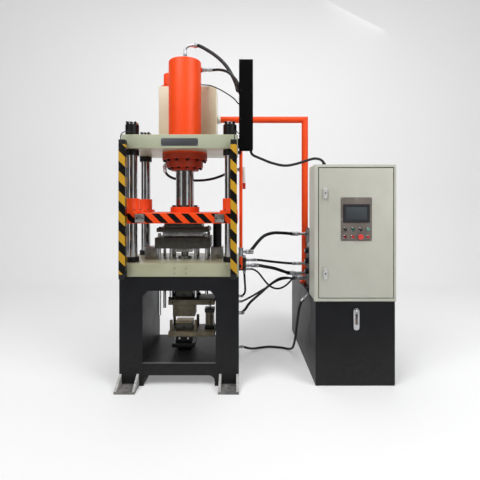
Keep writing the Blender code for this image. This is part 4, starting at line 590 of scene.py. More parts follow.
def enamel(name, light, dark, roughness=0.34, size=0.25, shade_below=None, **sockets):
    """Alkyd enamel over plate: the tone wanders a little, with fine orange peel, and a painted shade darkens
    it under a level."""
    made, tree, shader, where = surface(name, light, roughness, **{"Coat_Weight": 0.12, **sockets})
    tone = patches(tree, where, (dark, light), size, 0.25, 0.60)
    if shade_below:
        # Under the level a darker colour is laid over the tone: painted shade.
        level, code = shade_below
        tone = layered(tree, code, (along(tree, where, "Z", level, level + 0.02), tone))
    tree.links.new(tone, shader.inputs["Base Color"])
    relief(tree, shader, where, 0.0035, 0.0005, 0.22)
    worn_gloss(tree, shader, where, 0.09, roughness - 0.06, roughness + 0.12)
    return made


table_enamel = enamel("grey_green_alkyd_enamel_on_table", TABLE_CODE, TABLE_DARK)
shaped("table_slab", [press_box(-0.450, 0.450, -0.315, 0.315, TABLE_LOW, TABLE_TOP, 0.003, 0.018)],
       table_enamel,
       node="table", slot="sage_paint")

# Blued socket and hexagon heads: almost black, with an oily satin gloss that catches light on the chamfers.
black_oxide = finish("black_oxide_on_steel", "#121213", 0.40, 0.4,
                     tones=(("#0E0E0F", "#1A1A1B"), 0.012, 0.35, 0.70), Specular_IOR_Level=0.4)
# Each tapped hole is a black disc in the black-oxide finish: painted shade standing in for the hole.
tapped = [
    turned(((-0.0005, TAPPED_R), (0.0006, TAPPED_R), (0.0006, TAPPED_R * 0.8), (-0.0004, TAPPED_R * 0.7)),
           at_press(x, -0.315, z), FRONT, 20)
    for x in TAPPED_X for z in TAPPED_Z
]
shaped("tapped_hole_shade", tapped, black_oxide)

# Crosshead
# The upper slab that takes the press's force from the cylinder to the columns, in the same enamel a shade
# greyer. A blank dark plate with a screw in each corner is fixed to its front.
HEAD_LOW, HEAD_TOP = 1.7903, 1.8953
HEAD_HALF_X, HEAD_HALF_Y, HEAD_BORE_R = 0.4425, 0.300, 0.1356
BADGE_X, BADGE_Z, BADGE_T = (-0.139, 0.141), (1.8085, 1.8665), 0.0015


def slab_of(half_x, half_y, low, high, x=0.0, edge=0.002, corner=0.003):
    """A plate centred on the press's axis, or beside it."""
    return press_box(x - half_x, x + half_x, -half_y, half_y, low, high, edge, corner)


def bored_plate(half_x, half_y, low, high, bore, edge=0.002, corner=0.004, x=0.0):
    """A slab with a round hole: circle, outline, rolled edges, outline and circle again, closed into a
    loop of rings."""
    rings = slab_of(half_x, half_y, low, high, x, edge, corner)
    shares = np.linspace(0, 1, 9)[:-1, None]
    after = np.roll(rings, -1, axis=1)
    fine = rings[:, :, None] + (after - rings)[:, :, None] * shares
    rings = fine.reshape(len(rings), -1, 3)
    middle = np.array(at_press(x, 0)[:2])
    spoke = rings[0, :, :2] - middle
    circle = middle + bore * spoke / np.linalg.norm(spoke, axis=1)[:, None]
    first, last = (np.column_stack([circle, np.full(len(circle), z)]) for z in (low, high))
    return np.concatenate([first[None], rings, last[None]])


crosshead_enamel = enamel("grey_green_alkyd_enamel_on_crosshead", SAGE, SAGE_DARK)
slab = bored_plate(HEAD_HALF_X, HEAD_HALF_Y, HEAD_LOW, HEAD_TOP, HEAD_BORE_R, 0.003, 0.018)
shaped("crosshead_slab", [slab], crosshead_enamel, node="crosshead", slot="sage_paint", closed=True)

# Anodised aluminium, dyed dark and left blank: satin, with a brushed grain along its length.
dark_anodised = finish("dark_anodised_aluminium", "#55575B", 0.45, 0.6,
                       lines=((4.0, 1.0, 900.0), 3.0, 0.32, 0.52))
badge = press_box(*BADGE_X, -HEAD_HALF_Y - BADGE_T, -HEAD_HALF_Y, *BADGE_Z, 0.0005)
shaped("blank_badge", [badge], dark_anodised, slot="panel_paint")
screws = [
    turned(((0, 0.0032), (0.0012, 0.0030), (0.0018, 0.0018)), at_press(x, -HEAD_HALF_Y - BADGE_T, z), FRONT,
           14)
    for x in (BADGE_X[0] + 0.007, BADGE_X[1] - 0.007) for z in (BADGE_Z[0] + 0.007, BADGE_Z[1] - 0.007)
]
shaped("badge_screws", screws, zinc_plate)

# Columns
# Four ground and hard-chromed bars, each with a blued collar on the table, another under the crosshead, and
# a tall round nut on top with jack screws round the column's end.
COLUMN_X, COLUMN_Y, COLUMN_R, COLUMN_LOW = 0.380, 0.215, 0.040, 0.780
COLLAR_R, NUT_R, NUT_TOP, TIP = 0.053, 0.052, 1.9836, 0.020
JACK_RING, JACK_R, JACK_H, JACKS, NUT_RIM = 0.0465, 0.0068, 0.022, 4, 0.026

# Hard chrome on a ground bar: mirror bright, with the faintest rings from the grinding.
hard_chrome = finish("hard_chrome_on_ground_steel", "#C0C1C2", 0.10, 1.0,
                     tones=(("#A9AAAC", "#C6C7C9"), 0.09, 0.35, 0.70),
                     lines=((2.0, 2.0, 700.0), 2.0, 0.06, 0.17))
bars, collars, jacks = [], [], []
COLUMN_PLACES = [(sx * COLUMN_X, sy * COLUMN_Y) for sx, sy in CORNERS]
for x, y in COLUMN_PLACES:
    foot = at_press(x, y)
    bars.append(turned(drum(COLUMN_LOW, NUT_TOP + TIP, COLUMN_R), foot, sides=64))
    for low, high, r in ((TABLE_TOP + GAP, TABLE_TOP + 0.0403, COLLAR_R),
                         (HEAD_LOW - 0.0453, HEAD_LOW - GAP, COLLAR_R),
                         (HEAD_TOP + GAP, NUT_TOP, NUT_R)):
        rim = high - NUT_RIM if r == NUT_R else high - 0.004
        collars.append(turned(((low, COLUMN_R), (low, r, 0.002), (rim - 0.003, r), (rim - 0.003, r - 0.002),
                               (rim, r - 0.002), (rim, r), (high, r, 0.003), (high, COLUMN_R)), foot,
                               sides=56))
    for a in (np.arange(JACKS) + 0.5) * 2 * np.pi / JACKS:
        jacks.append(hexagon((foot[0] + JACK_RING * np.cos(a), foot[1] + JACK_RING * np.sin(a), NUT_TOP),
                             JACK_R, JACK_H))
COLUMN_NODES = ("column_front_left", "column_front_right", "column_rear_left", "column_rear_right")
shaped("column_bars", bars, hard_chrome, node=COLUMN_NODES)
shaped("column_collars_and_nuts", collars, black_oxide)
shaped("jack_screws", jacks, black_oxide)

# Main cylinder
# The forged and welded cylinder that stands through the crosshead: a flange bolted up under it and a plain
# barrel with a rolled crown, sprayed orange. A steel pipe leaves the boss on its top, and a union its right
# side.
ORANGE, ORANGE_DARK = "#FF5216", "#F24710"
FLANGE_LOW, FLANGE_R, BARREL_R, BORE_R, PIN_R = 1.7303, 0.185, 0.135, 0.106, 0.0005
BARREL_TOP, CROWN, BARREL_ROOF = 2.5553, 0.014, 2.4953
BOSS_R, BOSS_TOP, TOP_PIPE_Z, TOP_PIPE_REACH, TOP_PIPE_R = 0.030, 2.5833, 2.6913, 0.084, 0.0115
SIDE_PIPE_Z, SIDE_PIPE_END, SIDE_UNION_R = 2.4883, 0.200, 0.011
FLANGE_BOLT_RING, FLANGE_BOLT_R, FLANGE_BOLT_H = 0.1675, 0.012, 0.014


def ring_places(count, radius, z):
    """Places evenly round the press's axis, half a step off its X direction."""
    angles = (np.arange(count) + 0.5) * 2 * np.pi / count
    return [at_press(radius * np.cos(a), radius * np.sin(a), z) for a in angles]


def bent(corners, radius):
    """A path of straight runs; each turn by an angle q at a corner is the arc start + r*(sin s*d + (1 -
    cos s)*n)."""
    corners = [np.array(corner, float) for corner in corners]
    path = [corners[0]]
    for before, corner, after in zip(corners, corners[1:], corners[2:]):
        d, e = ((b - a) / np.linalg.norm(b - a) for a, b in ((before, corner), (corner, after)))
        angle = np.arccos(np.clip(d @ e, -1, 1))
        n = (e - d * (d @ e)) / np.linalg.norm(e - d * (d @ e))
        s = np.linspace(0, angle, 10)[:, None]
        path += list(corner - d * radius * np.tan(angle / 2) + radius * (np.sin(s) * d + (1 - np.cos(s)) * n))
    return np.array([*path, corners[-1]])


orange_enamel = enamel("orange_alkyd_enamel", ORANGE, ORANGE_DARK, 0.42, 0.30, Coat_Weight=0.03,
                       Specular_IOR_Level=0.3)
# Below the crosshead's underside the orange turns darker: painted shade on the cylinder's flange and the
# gland.
shaded_orange_enamel = enamel("orange_alkyd_enamel_with_painted_shade_below", ORANGE, ORANGE_DARK, 0.42, 0.30,
                     (HEAD_LOW - 0.02, "#AE3A1E"),
                     Coat_Weight=0.03, Specular_IOR_Level=0.3)
t = np.linspace(0, np.pi / 2, 7)
barrel = (
    (FLANGE_LOW, BORE_R), (FLANGE_LOW, FLANGE_R, 0.003), (HEAD_LOW, FLANGE_R, 0.002), (HEAD_LOW, BARREL_R),
    *zip(BARREL_TOP - CROWN * (1 - np.sin(t)), BARREL_R - CROWN * (1 - np.cos(t))),
    (BARREL_TOP, PIN_R), (BARREL_ROOF, PIN_R), (BARREL_ROOF, BORE_R),
)
shaped("cylinder_barrel", [turned(barrel, AXIS, sides=96)], shaded_orange_enamel, node="main_cylinder", closed=True)
boss = turned(((BARREL_TOP - 0.002, BOSS_R + 0.006), (BARREL_TOP + 0.004, BOSS_R),
               (BOSS_TOP, BOSS_R, 0.002)), AXIS, sides=40)
side_boss = turned(((0, 0.021), (0.009, 0.021), (0.011, 0.019)), at_press(BARREL_R - 0.002, 0, SIDE_PIPE_Z),
                   RIGHT, 28)
shaped("cylinder_bosses", [boss, side_boss], orange_enamel)
bolts = [hexagon(place, FLANGE_BOLT_R, FLANGE_BOLT_H, DOWN)
         for place in ring_places(12, FLANGE_BOLT_RING, FLANGE_LOW - 0.0025)]
washers = [turned(((0, 0.0142), (0.0025, 0.0142)), place, DOWN, 24)
           for place in ring_places(12, FLANGE_BOLT_RING, FLANGE_LOW)]
shaped("cylinder_flange_bolts", bolts + washers, black_oxide)
top_pipe = bent((at_press(0, 0, BOSS_TOP), at_press(0, 0, TOP_PIPE_Z),
                 at_press(TOP_PIPE_REACH - 0.006, 0, TOP_PIPE_Z)), 0.048)
nuts = [hexagon(at_press(0, 0, BOSS_TOP), 0.019, 0.016),
        hexagon(at_press(0, 0, BOSS_TOP + 0.020), 0.0155, 0.018),
        turned(((0, 0.0135), (0.026, 0.0135), (0.028, 0.0120)),
               at_press(TOP_PIPE_REACH - 0.030, 0, TOP_PIPE_Z), RIGHT),
        turned(((0, SIDE_UNION_R), (SIDE_PIPE_END - BARREL_R, SIDE_UNION_R)),
               at_press(BARREL_R, 0, SIDE_PIPE_Z), RIGHT),
        hexagon(at_press(BARREL_R + 0.009, 0, SIDE_PIPE_Z), 0.017, 0.015, RIGHT),
        hexagon(at_press(BARREL_R + 0.032, 0, SIDE_PIPE_Z), 0.0155, 0.014, RIGHT)]
shaped("cylinder_top_pipe", [carried(top_pipe, TOP_PIPE_R, (0, 1, 0))], zinc_plate)
shaped("cylinder_unions", nuts, zinc_plate)

# Cylinder gland
# The ring that carries the rod's seals, bolted up against the cylinder's flange, with a narrower wiper lip
# below.
GLAND_TOP, GLAND_LOW, LIP_LOW = 1.7297, 1.6677, 1.6447
GLAND_R, LIP_R, ROD_HOLE_R = 0.150, 0.115, 0.0765
GLAND_BOLT_RING = 0.1325

gland = ((LIP_LOW, ROD_HOLE_R), (LIP_LOW, LIP_R, 0.002), (GLAND_LOW, LIP_R), (GLAND_LOW, GLAND_R, 0.003),
         (GLAND_TOP, GLAND_R, 0.002), (GLAND_TOP, ROD_HOLE_R))
shaped("gland_ring", [turned(gland, AXIS, sides=96)], shaded_orange_enamel, node="cylinder_gland", closed=True)
bolts = [hexagon(place, 0.0115, 0.013, DOWN) for place in ring_places(12, GLAND_BOLT_RING, GLAND_LOW)]
shaped("gland_bolts", bolts, black_oxide)
elbow = bent((at_press(-0.149, 0.0, 1.698), at_press(-0.172, 0.0, 1.698), at_press(-0.172, 0.011, 1.679)),
             0.012)
shaped("gland_elbow",
       [carried(elbow, 0.0105, (0, 1, 0)), hexagon(at_press(-0.149, 0, 1.698), 0.0150, 0.009, LEFT)],
       zinc_plate)
wiper = ((LIP_LOW - 0.003, 0.0755), (LIP_LOW - 0.003, 0.082), (LIP_LOW, 0.086), (LIP_LOW + 0.004, 0.086),
         (LIP_LOW + 0.004, 0.0755))
shaped("gland_wiper", [turned(wiper, AXIS, sides=72)], hose_rubber, closed=True)

# Ram
# The hard-chromed rod with its piston, which pushes the platen down.
ROD_LOW, PISTON_LOW, PISTON_TOP, ROD_R, PISTON_R = 1.3006, 1.7603, 1.8703, 0.075, 0.1030

rod = ((ROD_LOW, ROD_R, 0.001), (PISTON_LOW, ROD_R), (PISTON_LOW, PISTON_R, 0.002),
       (PISTON_TOP, PISTON_R, 0.002))
shaped("ram_rod", [turned(rod, AXIS, sides=96)], hard_chrome, "ram_body", "ram")

# Ram flange
# A thick orange ring round the rod's end, with eight blued cap screws down into the platen.
RAM_FLANGE_R, RAM_FLANGE_TOP, RAM_BOLT_RING = 0.120, 1.3456, 0.0975

ring = ((ROD_LOW, ROD_R + 0.0005), (ROD_LOW, RAM_FLANGE_R, 0.001), (RAM_FLANGE_TOP, RAM_FLANGE_R, 0.003),
        (RAM_FLANGE_TOP, ROD_R + 0.0005))
shaped("ram_flange_ring", [turned(ring, AXIS, sides=80)], orange_enamel, "ram_body", "ram_flange",
       closed=True)
screws = [socket_head(place, 0.0115, 0.014) for place in ring_places(8, RAM_BOLT_RING, RAM_FLANGE_TOP)]
shaped("ram_flange_screws", screws, black_oxide, "ram_body")

# Platen
# The sliding slab that the ram drives, with a bronze-lined bushing on each column. Striped tape is stuck
# along its front edge, and two bare steel stop pads are screwed over the tape.
PLATEN_LOW, PLATEN_TOP = 1.2203, 1.3003
PLATEN_HALF_X, PLATEN_HALF_Y = 0.440, 0.2875
BUSHING_R, BUSHING_TOP, BUSHING_FLANGE_R = 0.056, 1.4123, 0.078
BUSHING_FLANGE_TOP, BUSHING_BORE_R = 1.3203, 0.0412
PLATEN_STRIPE, PLATEN_STRIPE_START = 0.1116, 0.4394
PAD_X, PAD_HALF, PAD_LOW, PAD_TOP, PAD_FRONT = 0.302, 0.035, 1.2293, 1.2913, -0.2995


def striped(name, codes, period, start):
    """Slanting stripes on tape: the second colour where the fraction of (x + z - start)/period is over a
    half."""
    made, tree, shader, where = surface(name, codes[0], 0.42, Specular_IOR_Level=0.15)
    level = add(tree, "ShaderNodeSeparateXYZ", {"Vector": where}).outputs
    second = worked(tree, level["X"], ("ADD", level["Z"]), ("SUBTRACT", start), ("DIVIDE", period),
                    ("FRACT", 0.0),
                    ("GREATER_THAN", 0.5))
    scuffs = add(tree, "ShaderNodeTexNoise", {"Vector": where, "Scale": 45.0, "Detail": 8.0}).outputs["Fac"]
    worn = add(tree, "ShaderNodeMapRange",
               {"Value": scuffs, "From Min": 0.64, "From Max": 0.80, "To Max": 0.16})
    tone = layered(tree, codes[0], (second, codes[1]), (worn.outputs["Result"], "#8A867C"))
    tree.links.new(tone, shader.inputs["Base Color"])
    worn_gloss(tree, shader, where, 0.05, 0.34, 0.56)
    return made


slab = press_box(-PLATEN_HALF_X, PLATEN_HALF_X, -PLATEN_HALF_Y, PLATEN_HALF_Y, PLATEN_LOW, PLATEN_TOP,
                 0.003, 0.008)
shaped("platen_slab", [slab], orange_enamel, "ram_body", "platen")
flanges, tubes, liners = [], [], []
limits = np.array([PLATEN_HALF_X - 0.001, PLATEN_HALF_Y - 0.001])
for x, y in COLUMN_PLACES:
    rings = turned(((PLATEN_TOP - 0.001, BUSHING_BORE_R + 0.004), (PLATEN_TOP - 0.001, BUSHING_FLANGE_R),
                    (BUSHING_FLANGE_TOP, BUSHING_FLANGE_R, 0.003),
                    (BUSHING_FLANGE_TOP, BUSHING_BORE_R + 0.004)), at_press(x, y), sides=72)
    centre = np.array(AXIS[:2])
    rings[..., :2] = centre + np.clip(rings[..., :2] - centre, -limits, limits)
    flanges.append(rings)
    tubes.append(turned(((BUSHING_FLANGE_TOP - 0.004, BUSHING_BORE_R + 0.004),
                         (BUSHING_FLANGE_TOP - 0.004, BUSHING_R + 0.004),
                         (BUSHING_FLANGE_TOP + 0.004, BUSHING_R), (BUSHING_TOP, BUSHING_R, 0.003),
                         (BUSHING_TOP, BUSHING_BORE_R + 0.004)), at_press(x, y), sides=64))
    liners.append(turned(((PLATEN_TOP, BUSHING_BORE_R), (PLATEN_TOP, BUSHING_BORE_R + 0.0045),
                          (BUSHING_TOP - 0.001, BUSHING_BORE_R + 0.0045),
                          (BUSHING_TOP - 0.001, BUSHING_BORE_R)), at_press(x, y), sides=64))
shaped("platen_bushings", flanges + tubes, orange_enamel, "ram_body", closed=True)

# Cast tin bronze: a warm, dull gold that oil has darkened, in the bushings.
bronze = finish("cast_tin_bronze", "#8F6A3C", 0.34, 1.0, tones=(("#7A5830", "#A27A47"), 0.012, 0.35, 0.65))
shaped("bushing_liners", liners, bronze, "ram_body", slot="ground_steel", closed=True)
screws = [
    socket_head((at_press(x, y)[0] + 0.0665 * np.cos(a), at_press(x, y)[1] + 0.0665 * np.sin(a),
                 BUSHING_FLANGE_TOP), 0.0062, 0.006)
    for x, y in COLUMN_PLACES for a in np.radians((60, 120, 240, 300))
    if abs(y + 0.0665 * np.sin(a)) < PLATEN_HALF_Y - 0.010
]
shaped("bushing_screws", screws, black_oxide, "ram_body")
orange_black = striped("orange_and_black_hazard_tape", ("#F04C18", "#060505"), PLATEN_STRIPE,
                       PLATEN_STRIPE_START)
tape = press_box(-PLATEN_HALF_X + 0.002, PLATEN_HALF_X - 0.002, -PLATEN_HALF_Y - 0.0006,
                 -PLATEN_HALF_Y + 0.001,
                 PLATEN_LOW + 0.004, PLATEN_TOP - 0.004, 0.0003, 0.0004)
shaped("platen_tape", [tape], orange_black, "ram_body", slot="orange_paint")

# Ground steel: fine, nearly parallel grinding lines, bright but soft, with faint grey oil stains.
ground_steel = finish("ground_tool_steel", "#A7A8A6", 0.30, 0.9,
                      tones=(("#7F807D", "#B4B5B2"), 0.050, 0.30, 0.62),
                      lines=((12.0, 12.0, 900.0), 3.0, 0.24, 0.44))
pads, screws = [], []
for side in (-1, 1):
    pads.append(press_box(side * PAD_X - PAD_HALF, side * PAD_X + PAD_HALF, PAD_FRONT,
                          -PLATEN_HALF_Y + 0.001, PAD_LOW, PAD_TOP, 0.0015))
    for x in (-0.022, 0.022):
        screws.append(socket_head(at_press(side * PAD_X + x, PAD_FRONT, (PAD_LOW + PAD_TOP) / 2), 0.0055,
                                  0.0045, FRONT))
shaped("platen_stop_pads", pads, ground_steel, "ram_body", slot="orange_paint")
shaped("platen_pad_screws", screws, black_oxide, "ram_body")

# Upper punch
# The punch holder, its wide clamp plate and the bright bar under it, all bolted up under the platen.
HOLDER = (0.150, 0.120, 1.1760, 1.2200)
CLAMP_PLATE = (0.210, 0.130, 1.1440, 1.1763)
PUNCH_BAR = (0.165, 0.110, 1.1080, 1.1443)


# Tool steel with its hardening scale: dark warm grey, oiled, with rubbed paler patches.
tool_steel = finish("oiled_hardened_tool_steel", "#403F39", 0.42, 0.6,
                    tones=(("#3A3A35", "#46463F"), 0.045, 0.32, 0.68), bumps=(0.003, 0.0004, 0.2),
                    gloss=(0.03, 0.32, 0.52))
shaped("punch_holder", [slab_of(*HOLDER), slab_of(*CLAMP_PLATE)], tool_steel, "ram_body", "upper_punch")
shaped("punch_bar", [slab_of(*PUNCH_BAR)], ground_steel, "ram_body")
heads = [socket_head(at_press(sx * 0.190, -CLAMP_PLATE[1] * 0.72 * sy, CLAMP_PLATE[3] - GAP), 0.0085, 0.009)
         for sx, sy in CORNERS]
plugs = [turned(((0, 0.0055), (0.0008, 0.0055), (0.0008, 0.0035), (-0.001, 0.0030)),
                at_press(x, -HOLDER[1], 1.198), FRONT, 18)
         for x in (-0.110, -0.035, 0.035, 0.110)]
shaped("punch_screws", heads + plugs, black_oxide, "ram_body")

# Stop blocks and stop post
# A ground block on each end of the table, and on the right one the blued post that the platen comes down
# on.
STOP_X, STOP_HALF_X, STOP_HALF_Y, STOP_LOW, STOP_TOP = 0.270, 0.049, 0.070, 0.9206, 1.0156
POST_R, POST_LOW, POST_TOP = 0.036, 1.0159, 1.2200

for name, side in (("stop_block_left", -1), ("stop_block_right", 1)):
    block = slab_of(STOP_HALF_X, STOP_HALF_Y, STOP_LOW, STOP_TOP, side * STOP_X, 0.002, 0.003)
    shaped(name + "_ground", [block], ground_steel, node=name)
post = ((POST_LOW, POST_R, 0.002), (POST_LOW + 0.030, POST_R), (POST_LOW + 0.031, POST_R - 0.0015),
        (POST_LOW + 0.036, POST_R - 0.0015), (POST_LOW + 0.037, POST_R), (POST_TOP, POST_R, 0.003))
shaped("stop_post_turned", [turned(post, at_press(STOP_X, 0), sides=56)], black_oxide, node="stop_post")

# Die plate
# A thick oiled plate on four bright pillars, bored through for the lower punch. A paler square insert
# closes it below, and the front edge has tapped holes.
DIE_HALF_X, DIE_HALF_Y, DIE_LOW, DIE_TOP = 0.220, 0.150, 1.0143, 1.1003
INSERT_HALF, INSERT_LOW, DIE_BORE_R = 0.070, 0.9773, 0.0305
PILLAR_X, PILLAR_Y, PILLAR_R = 0.190, 0.110, 0.013
PILLAR_TOP, PILLAR_LEFT_LOW, PILLAR_RIGHT_LOW = 1.134, 0.4733, 0.6403
DIE_HOLES_X, DIE_HOLES_Z, DIE_HOLE_R = (-0.050, 0.042, 0.152, 0.206), (1.078, 1.037), 0.0055


plate = bored_plate(DIE_HALF_X, DIE_HALF_Y, DIE_LOW, DIE_TOP, DIE_BORE_R, 0.0025)
shaped("die_plate_slab", [plate], tool_steel, "die_set", "die_plate", closed=True)
insert = bored_plate(INSERT_HALF, INSERT_HALF, INSERT_LOW, DIE_LOW + 0.0005, DIE_BORE_R, 0.002)
liner = turned(((DIE_TOP - 0.012, DIE_BORE_R - 0.0004), (DIE_TOP - 0.012, 0.046), (DIE_TOP + 0.0003, 0.046),
                (DIE_TOP + 0.0003, DIE_BORE_R)), AXIS, sides=64)
shaped("die_insert", [insert, liner], ground_steel, "die_set", closed=True)
pillars = [turned(drum(PILLAR_LEFT_LOW if sx < 0 else PILLAR_RIGHT_LOW, PILLAR_TOP, PILLAR_R),
                  at_press(sx * PILLAR_X, sy * PILLAR_Y), sides=32) for sx, sy in CORNERS]
shaped("die_pillars", pillars, hard_chrome, "die_set")
# Each tapped hole is a black disc in the black-oxide finish: painted shade standing in for the hole.
holes = [
    turned(((-0.0005, DIE_HOLE_R), (0.0006, DIE_HOLE_R), (0.0006, DIE_HOLE_R * 0.75),
            (-0.0004, DIE_HOLE_R * 0.65)),
           at_press(x, -DIE_HALF_Y, z), FRONT, 20)
    for x in DIE_HOLES_X for z in DIE_HOLES_Z
]
shaped("die_tapped_hole_shade", holes, black_oxide, "die_set")

# Lower punch
# A polished punch on a round foot, clamped to the table, that closes the die from below.
PUNCH_R, PUNCH_TOP, PUNCH_FOOT_R, PUNCH_FOOT_TOP = 0.030, 1.0903, 0.055, 0.9406

punch = ((STOP_LOW, PUNCH_FOOT_R, 0.001), (PUNCH_FOOT_TOP, PUNCH_FOOT_R, 0.002),
         (PUNCH_FOOT_TOP, PUNCH_R + 0.003), (PUNCH_FOOT_TOP + 0.003, PUNCH_R), (PUNCH_TOP, PUNCH_R, 0.001))
shaped("lower_punch_turned", [turned(punch, AXIS, sides=56)], ground_steel, node="lower_punch")

# Upper yoke
# The primed plate that hangs from the die plate on four pull rods, with a drilled centre block and a float
# rod.
YOKE_X, YOKE_HALF_X, YOKE_HALF_Y, YOKE_LOW, YOKE_TOP = 0.067, 0.187, 0.110, 0.555, 0.596
CENTRE_HALF_X, CENTRE_HALF_Y, CENTRE_LOW = 0.090, 0.070, 0.450
CLAMP_HALF_X, CLAMP_HALF_Y, CLAMP_TOP = 0.070, 0.055, 0.662
PULL_R, PULL_X, PULL_Y, FLOAT_X, FLOAT_ROD_R, FLOAT_ROD_LOW = 0.014, 0.100, 0.080, 0.208, 0.012, 0.425

# Olive-brown primer: dull, thin, brushed on, stained darker by oil in patches.
olive_primer = finish("olive_brown_primer", "#6A614C", 0.58,
                      tones=(("#544C3A", "#786E56"), 0.060, 0.30, 0.70), bumps=(0.0025, 0.0006, 0.3),
                      gloss=(0.04, 0.40, 0.62))


def slot_in(x, y, z):
    """A slot in a face that looks to the front, drawn as a black oval of painted shade, 34 mm by 12.4 mm, 0.6
    mm proud.
    """
    a = np.linspace(0, 2 * np.pi, 28, endpoint=False)
    around = np.column_stack([x + 0.017 * np.cos(a), np.zeros(28), z - 0.0062 * np.sin(a)])
    return np.stack([around + (0, y + 0.0005, 0), around + (0, y - 0.0006, 0)])[:, ::-1] + AXIS


plate = slab_of(YOKE_HALF_X, YOKE_HALF_Y, YOKE_LOW, YOKE_TOP, YOKE_X)
shaped("upper_yoke_plate", [plate], olive_primer, "die_set", "upper_yoke")
block = slab_of(CENTRE_HALF_X, CENTRE_HALF_Y, CENTRE_LOW, YOKE_LOW + 0.001)
shaped("upper_yoke_block", [block], olive_primer, "die_set")
# The three drilled holes are black discs in the black-oxide finish: painted shade standing in for the holes.
holes = [turned(((-0.001, 0.0078), (0.0008, 0.0078), (0.0008, 0.0062), (-0.0008, 0.0055)),
                at_press(x, -CENTRE_HALF_Y, CENTRE_LOW + 0.021), FRONT, 22)
         for x in (-0.062, 0.0, 0.062)]
heads = [socket_head(at_press(YOKE_X + x, -YOKE_HALF_Y * 0.999, (YOKE_LOW + YOKE_TOP) / 2), 0.007, 0.003,
                     FRONT)
         for x in (-0.150, 0.150)]
nuts = [hexagon(at_press(sx * PULL_X, sy * PULL_Y, YOKE_TOP), 0.024, 0.018) for sx, sy in CORNERS]
shaped("upper_yoke_fixings", holes + heads + nuts, black_oxide, "die_set")
rods = [turned(((YOKE_TOP, PULL_R), (DIE_LOW - GAP, PULL_R)), at_press(sx * PULL_X, sy * PULL_Y), sides=32)
        for sx, sy in CORNERS]
rods.append(turned(((FLOAT_ROD_LOW, FLOAT_ROD_R), (YOKE_LOW + 0.001, FLOAT_ROD_R)), at_press(FLOAT_X, 0),
                   sides=32))
shaped("upper_yoke_rods", rods, hard_chrome, "die_set")

clamp = slab_of(CLAMP_HALF_X, CLAMP_HALF_Y, YOKE_TOP, CLAMP_TOP)
shaped("upper_yoke_clamp", [clamp], tool_steel, "die_set", slot="olive_primer")
# The clamp's slot is a black oval: painted shade.
shaped("upper_yoke_clamp_slot", [slot_in(0.0, -CLAMP_HALF_Y, YOKE_TOP + 0.032)], black_oxide, "die_set",
       slot="olive_primer")

# Ejector
# The lift cylinder bolted in the base, blued, with its chromed rod, and the primed lower yoke that the rod
# carries.
EJECTOR_R, EJECTOR_LOW, COLLAR_LOW, COLLAR_TOP = 0.039, 0.020, 0.1723, 0.1843
EJECTOR_FLANGE_LOW, EJECTOR_FLANGE_TOP, EJECTOR_TOP, EJECTOR_ROD_R = 0.205, 0.238, 0.2990, 0.018
LOWER_YOKE_LOW, LOWER_YOKE_TOP, STOP_PAD_TOP = 0.2993, 0.3353, 0.4053
LOWER_POST_R, LOWER_POST_TOP = 0.012, 0.4253

body = turned(((EJECTOR_LOW, EJECTOR_R, 0.002), (COLLAR_LOW, EJECTOR_R), (COLLAR_LOW, 0.060),
               (COLLAR_TOP - 0.002, 0.060), (COLLAR_TOP, 0.058), (COLLAR_TOP, EJECTOR_R),
               (EJECTOR_FLANGE_LOW + 0.002, EJECTOR_R)),
              AXIS, sides=56)
flange = slab_of(0.093, 0.093, EJECTOR_FLANGE_LOW, EJECTOR_FLANGE_TOP)
head = slab_of(0.065, 0.065, EJECTOR_FLANGE_TOP - 0.001, EJECTOR_TOP)
shaped("ejector_body", [body, flange, head], black_oxide, node="ejector_cylinder")
heads = [socket_head(at_press(sx * 0.077, sy * 0.077, EJECTOR_FLANGE_TOP), 0.009, 0.010)
         for sx, sy in CORNERS]
ports = [hexagon(at_press(x, -0.065, 0.272), 0.010, 0.006, FRONT) for x in (-0.035, 0.035)]
shaped("ejector_fixings", heads + ports, zinc_plate)
rod = turned(((EJECTOR_LOW + 0.05, EJECTOR_ROD_R), (LOWER_YOKE_LOW - GAP, EJECTOR_ROD_R)), AXIS, sides=40)
shaped("ejector_rod_chrome", [rod], hard_chrome, "ejector", "ejector_rod")
plate = slab_of(YOKE_HALF_X, YOKE_HALF_Y, LOWER_YOKE_LOW, LOWER_YOKE_TOP, YOKE_X)
posts = [turned(((LOWER_YOKE_TOP - 0.001, LOWER_POST_R), (LOWER_POST_TOP, LOWER_POST_R, 0.002)),
                at_press(sx * PULL_X, sy * PULL_Y), sides=28) for sx, sy in CORNERS]
shaped("lower_yoke_plate", [plate, *posts], olive_primer, "ejector", "lower_yoke")
pad = slab_of(0.070, 0.060, LOWER_YOKE_TOP - 0.001, STOP_PAD_TOP - 0.010)

# Rolled brass sheet, dulled by oil: a soft yellow-brown metal, on top of the pad.
brass_shim = finish("rolled_brass_sheet", "#8C7D5C", 0.42, 0.8,
                    tones=(("#776A4C", "#A09070"), 0.030, 0.35, 0.65), gloss=(0.01, 0.34, 0.52))
shaped("lower_yoke_pad", [pad], tool_steel, "ejector", slot="olive_primer")
cap = slab_of(0.070, 0.060, STOP_PAD_TOP - 0.010, STOP_PAD_TOP)
shaped("lower_yoke_pad_cap", [cap], brass_shim, "ejector", slot="olive_primer")
# The pad's slot is a black oval: painted shade.
slots = [slot_in(0.0, -0.060, LOWER_YOKE_TOP + 0.026)]
shaped("lower_yoke_pad_slot", slots, black_oxide, "ejector", slot="olive_primer")

# Float cylinder
# A small tie-rod cylinder between the two yokes: blued square caps, a primed barrel and four bright tie
# rods.
FLOAT_CAP, FLOAT_LOW, FLOAT_TOP = 0.040, 0.3356, 0.5056
FLOAT_CAP_H, FLOAT_BARREL_R, TIE_AT = 0.032, 0.034, 0.031

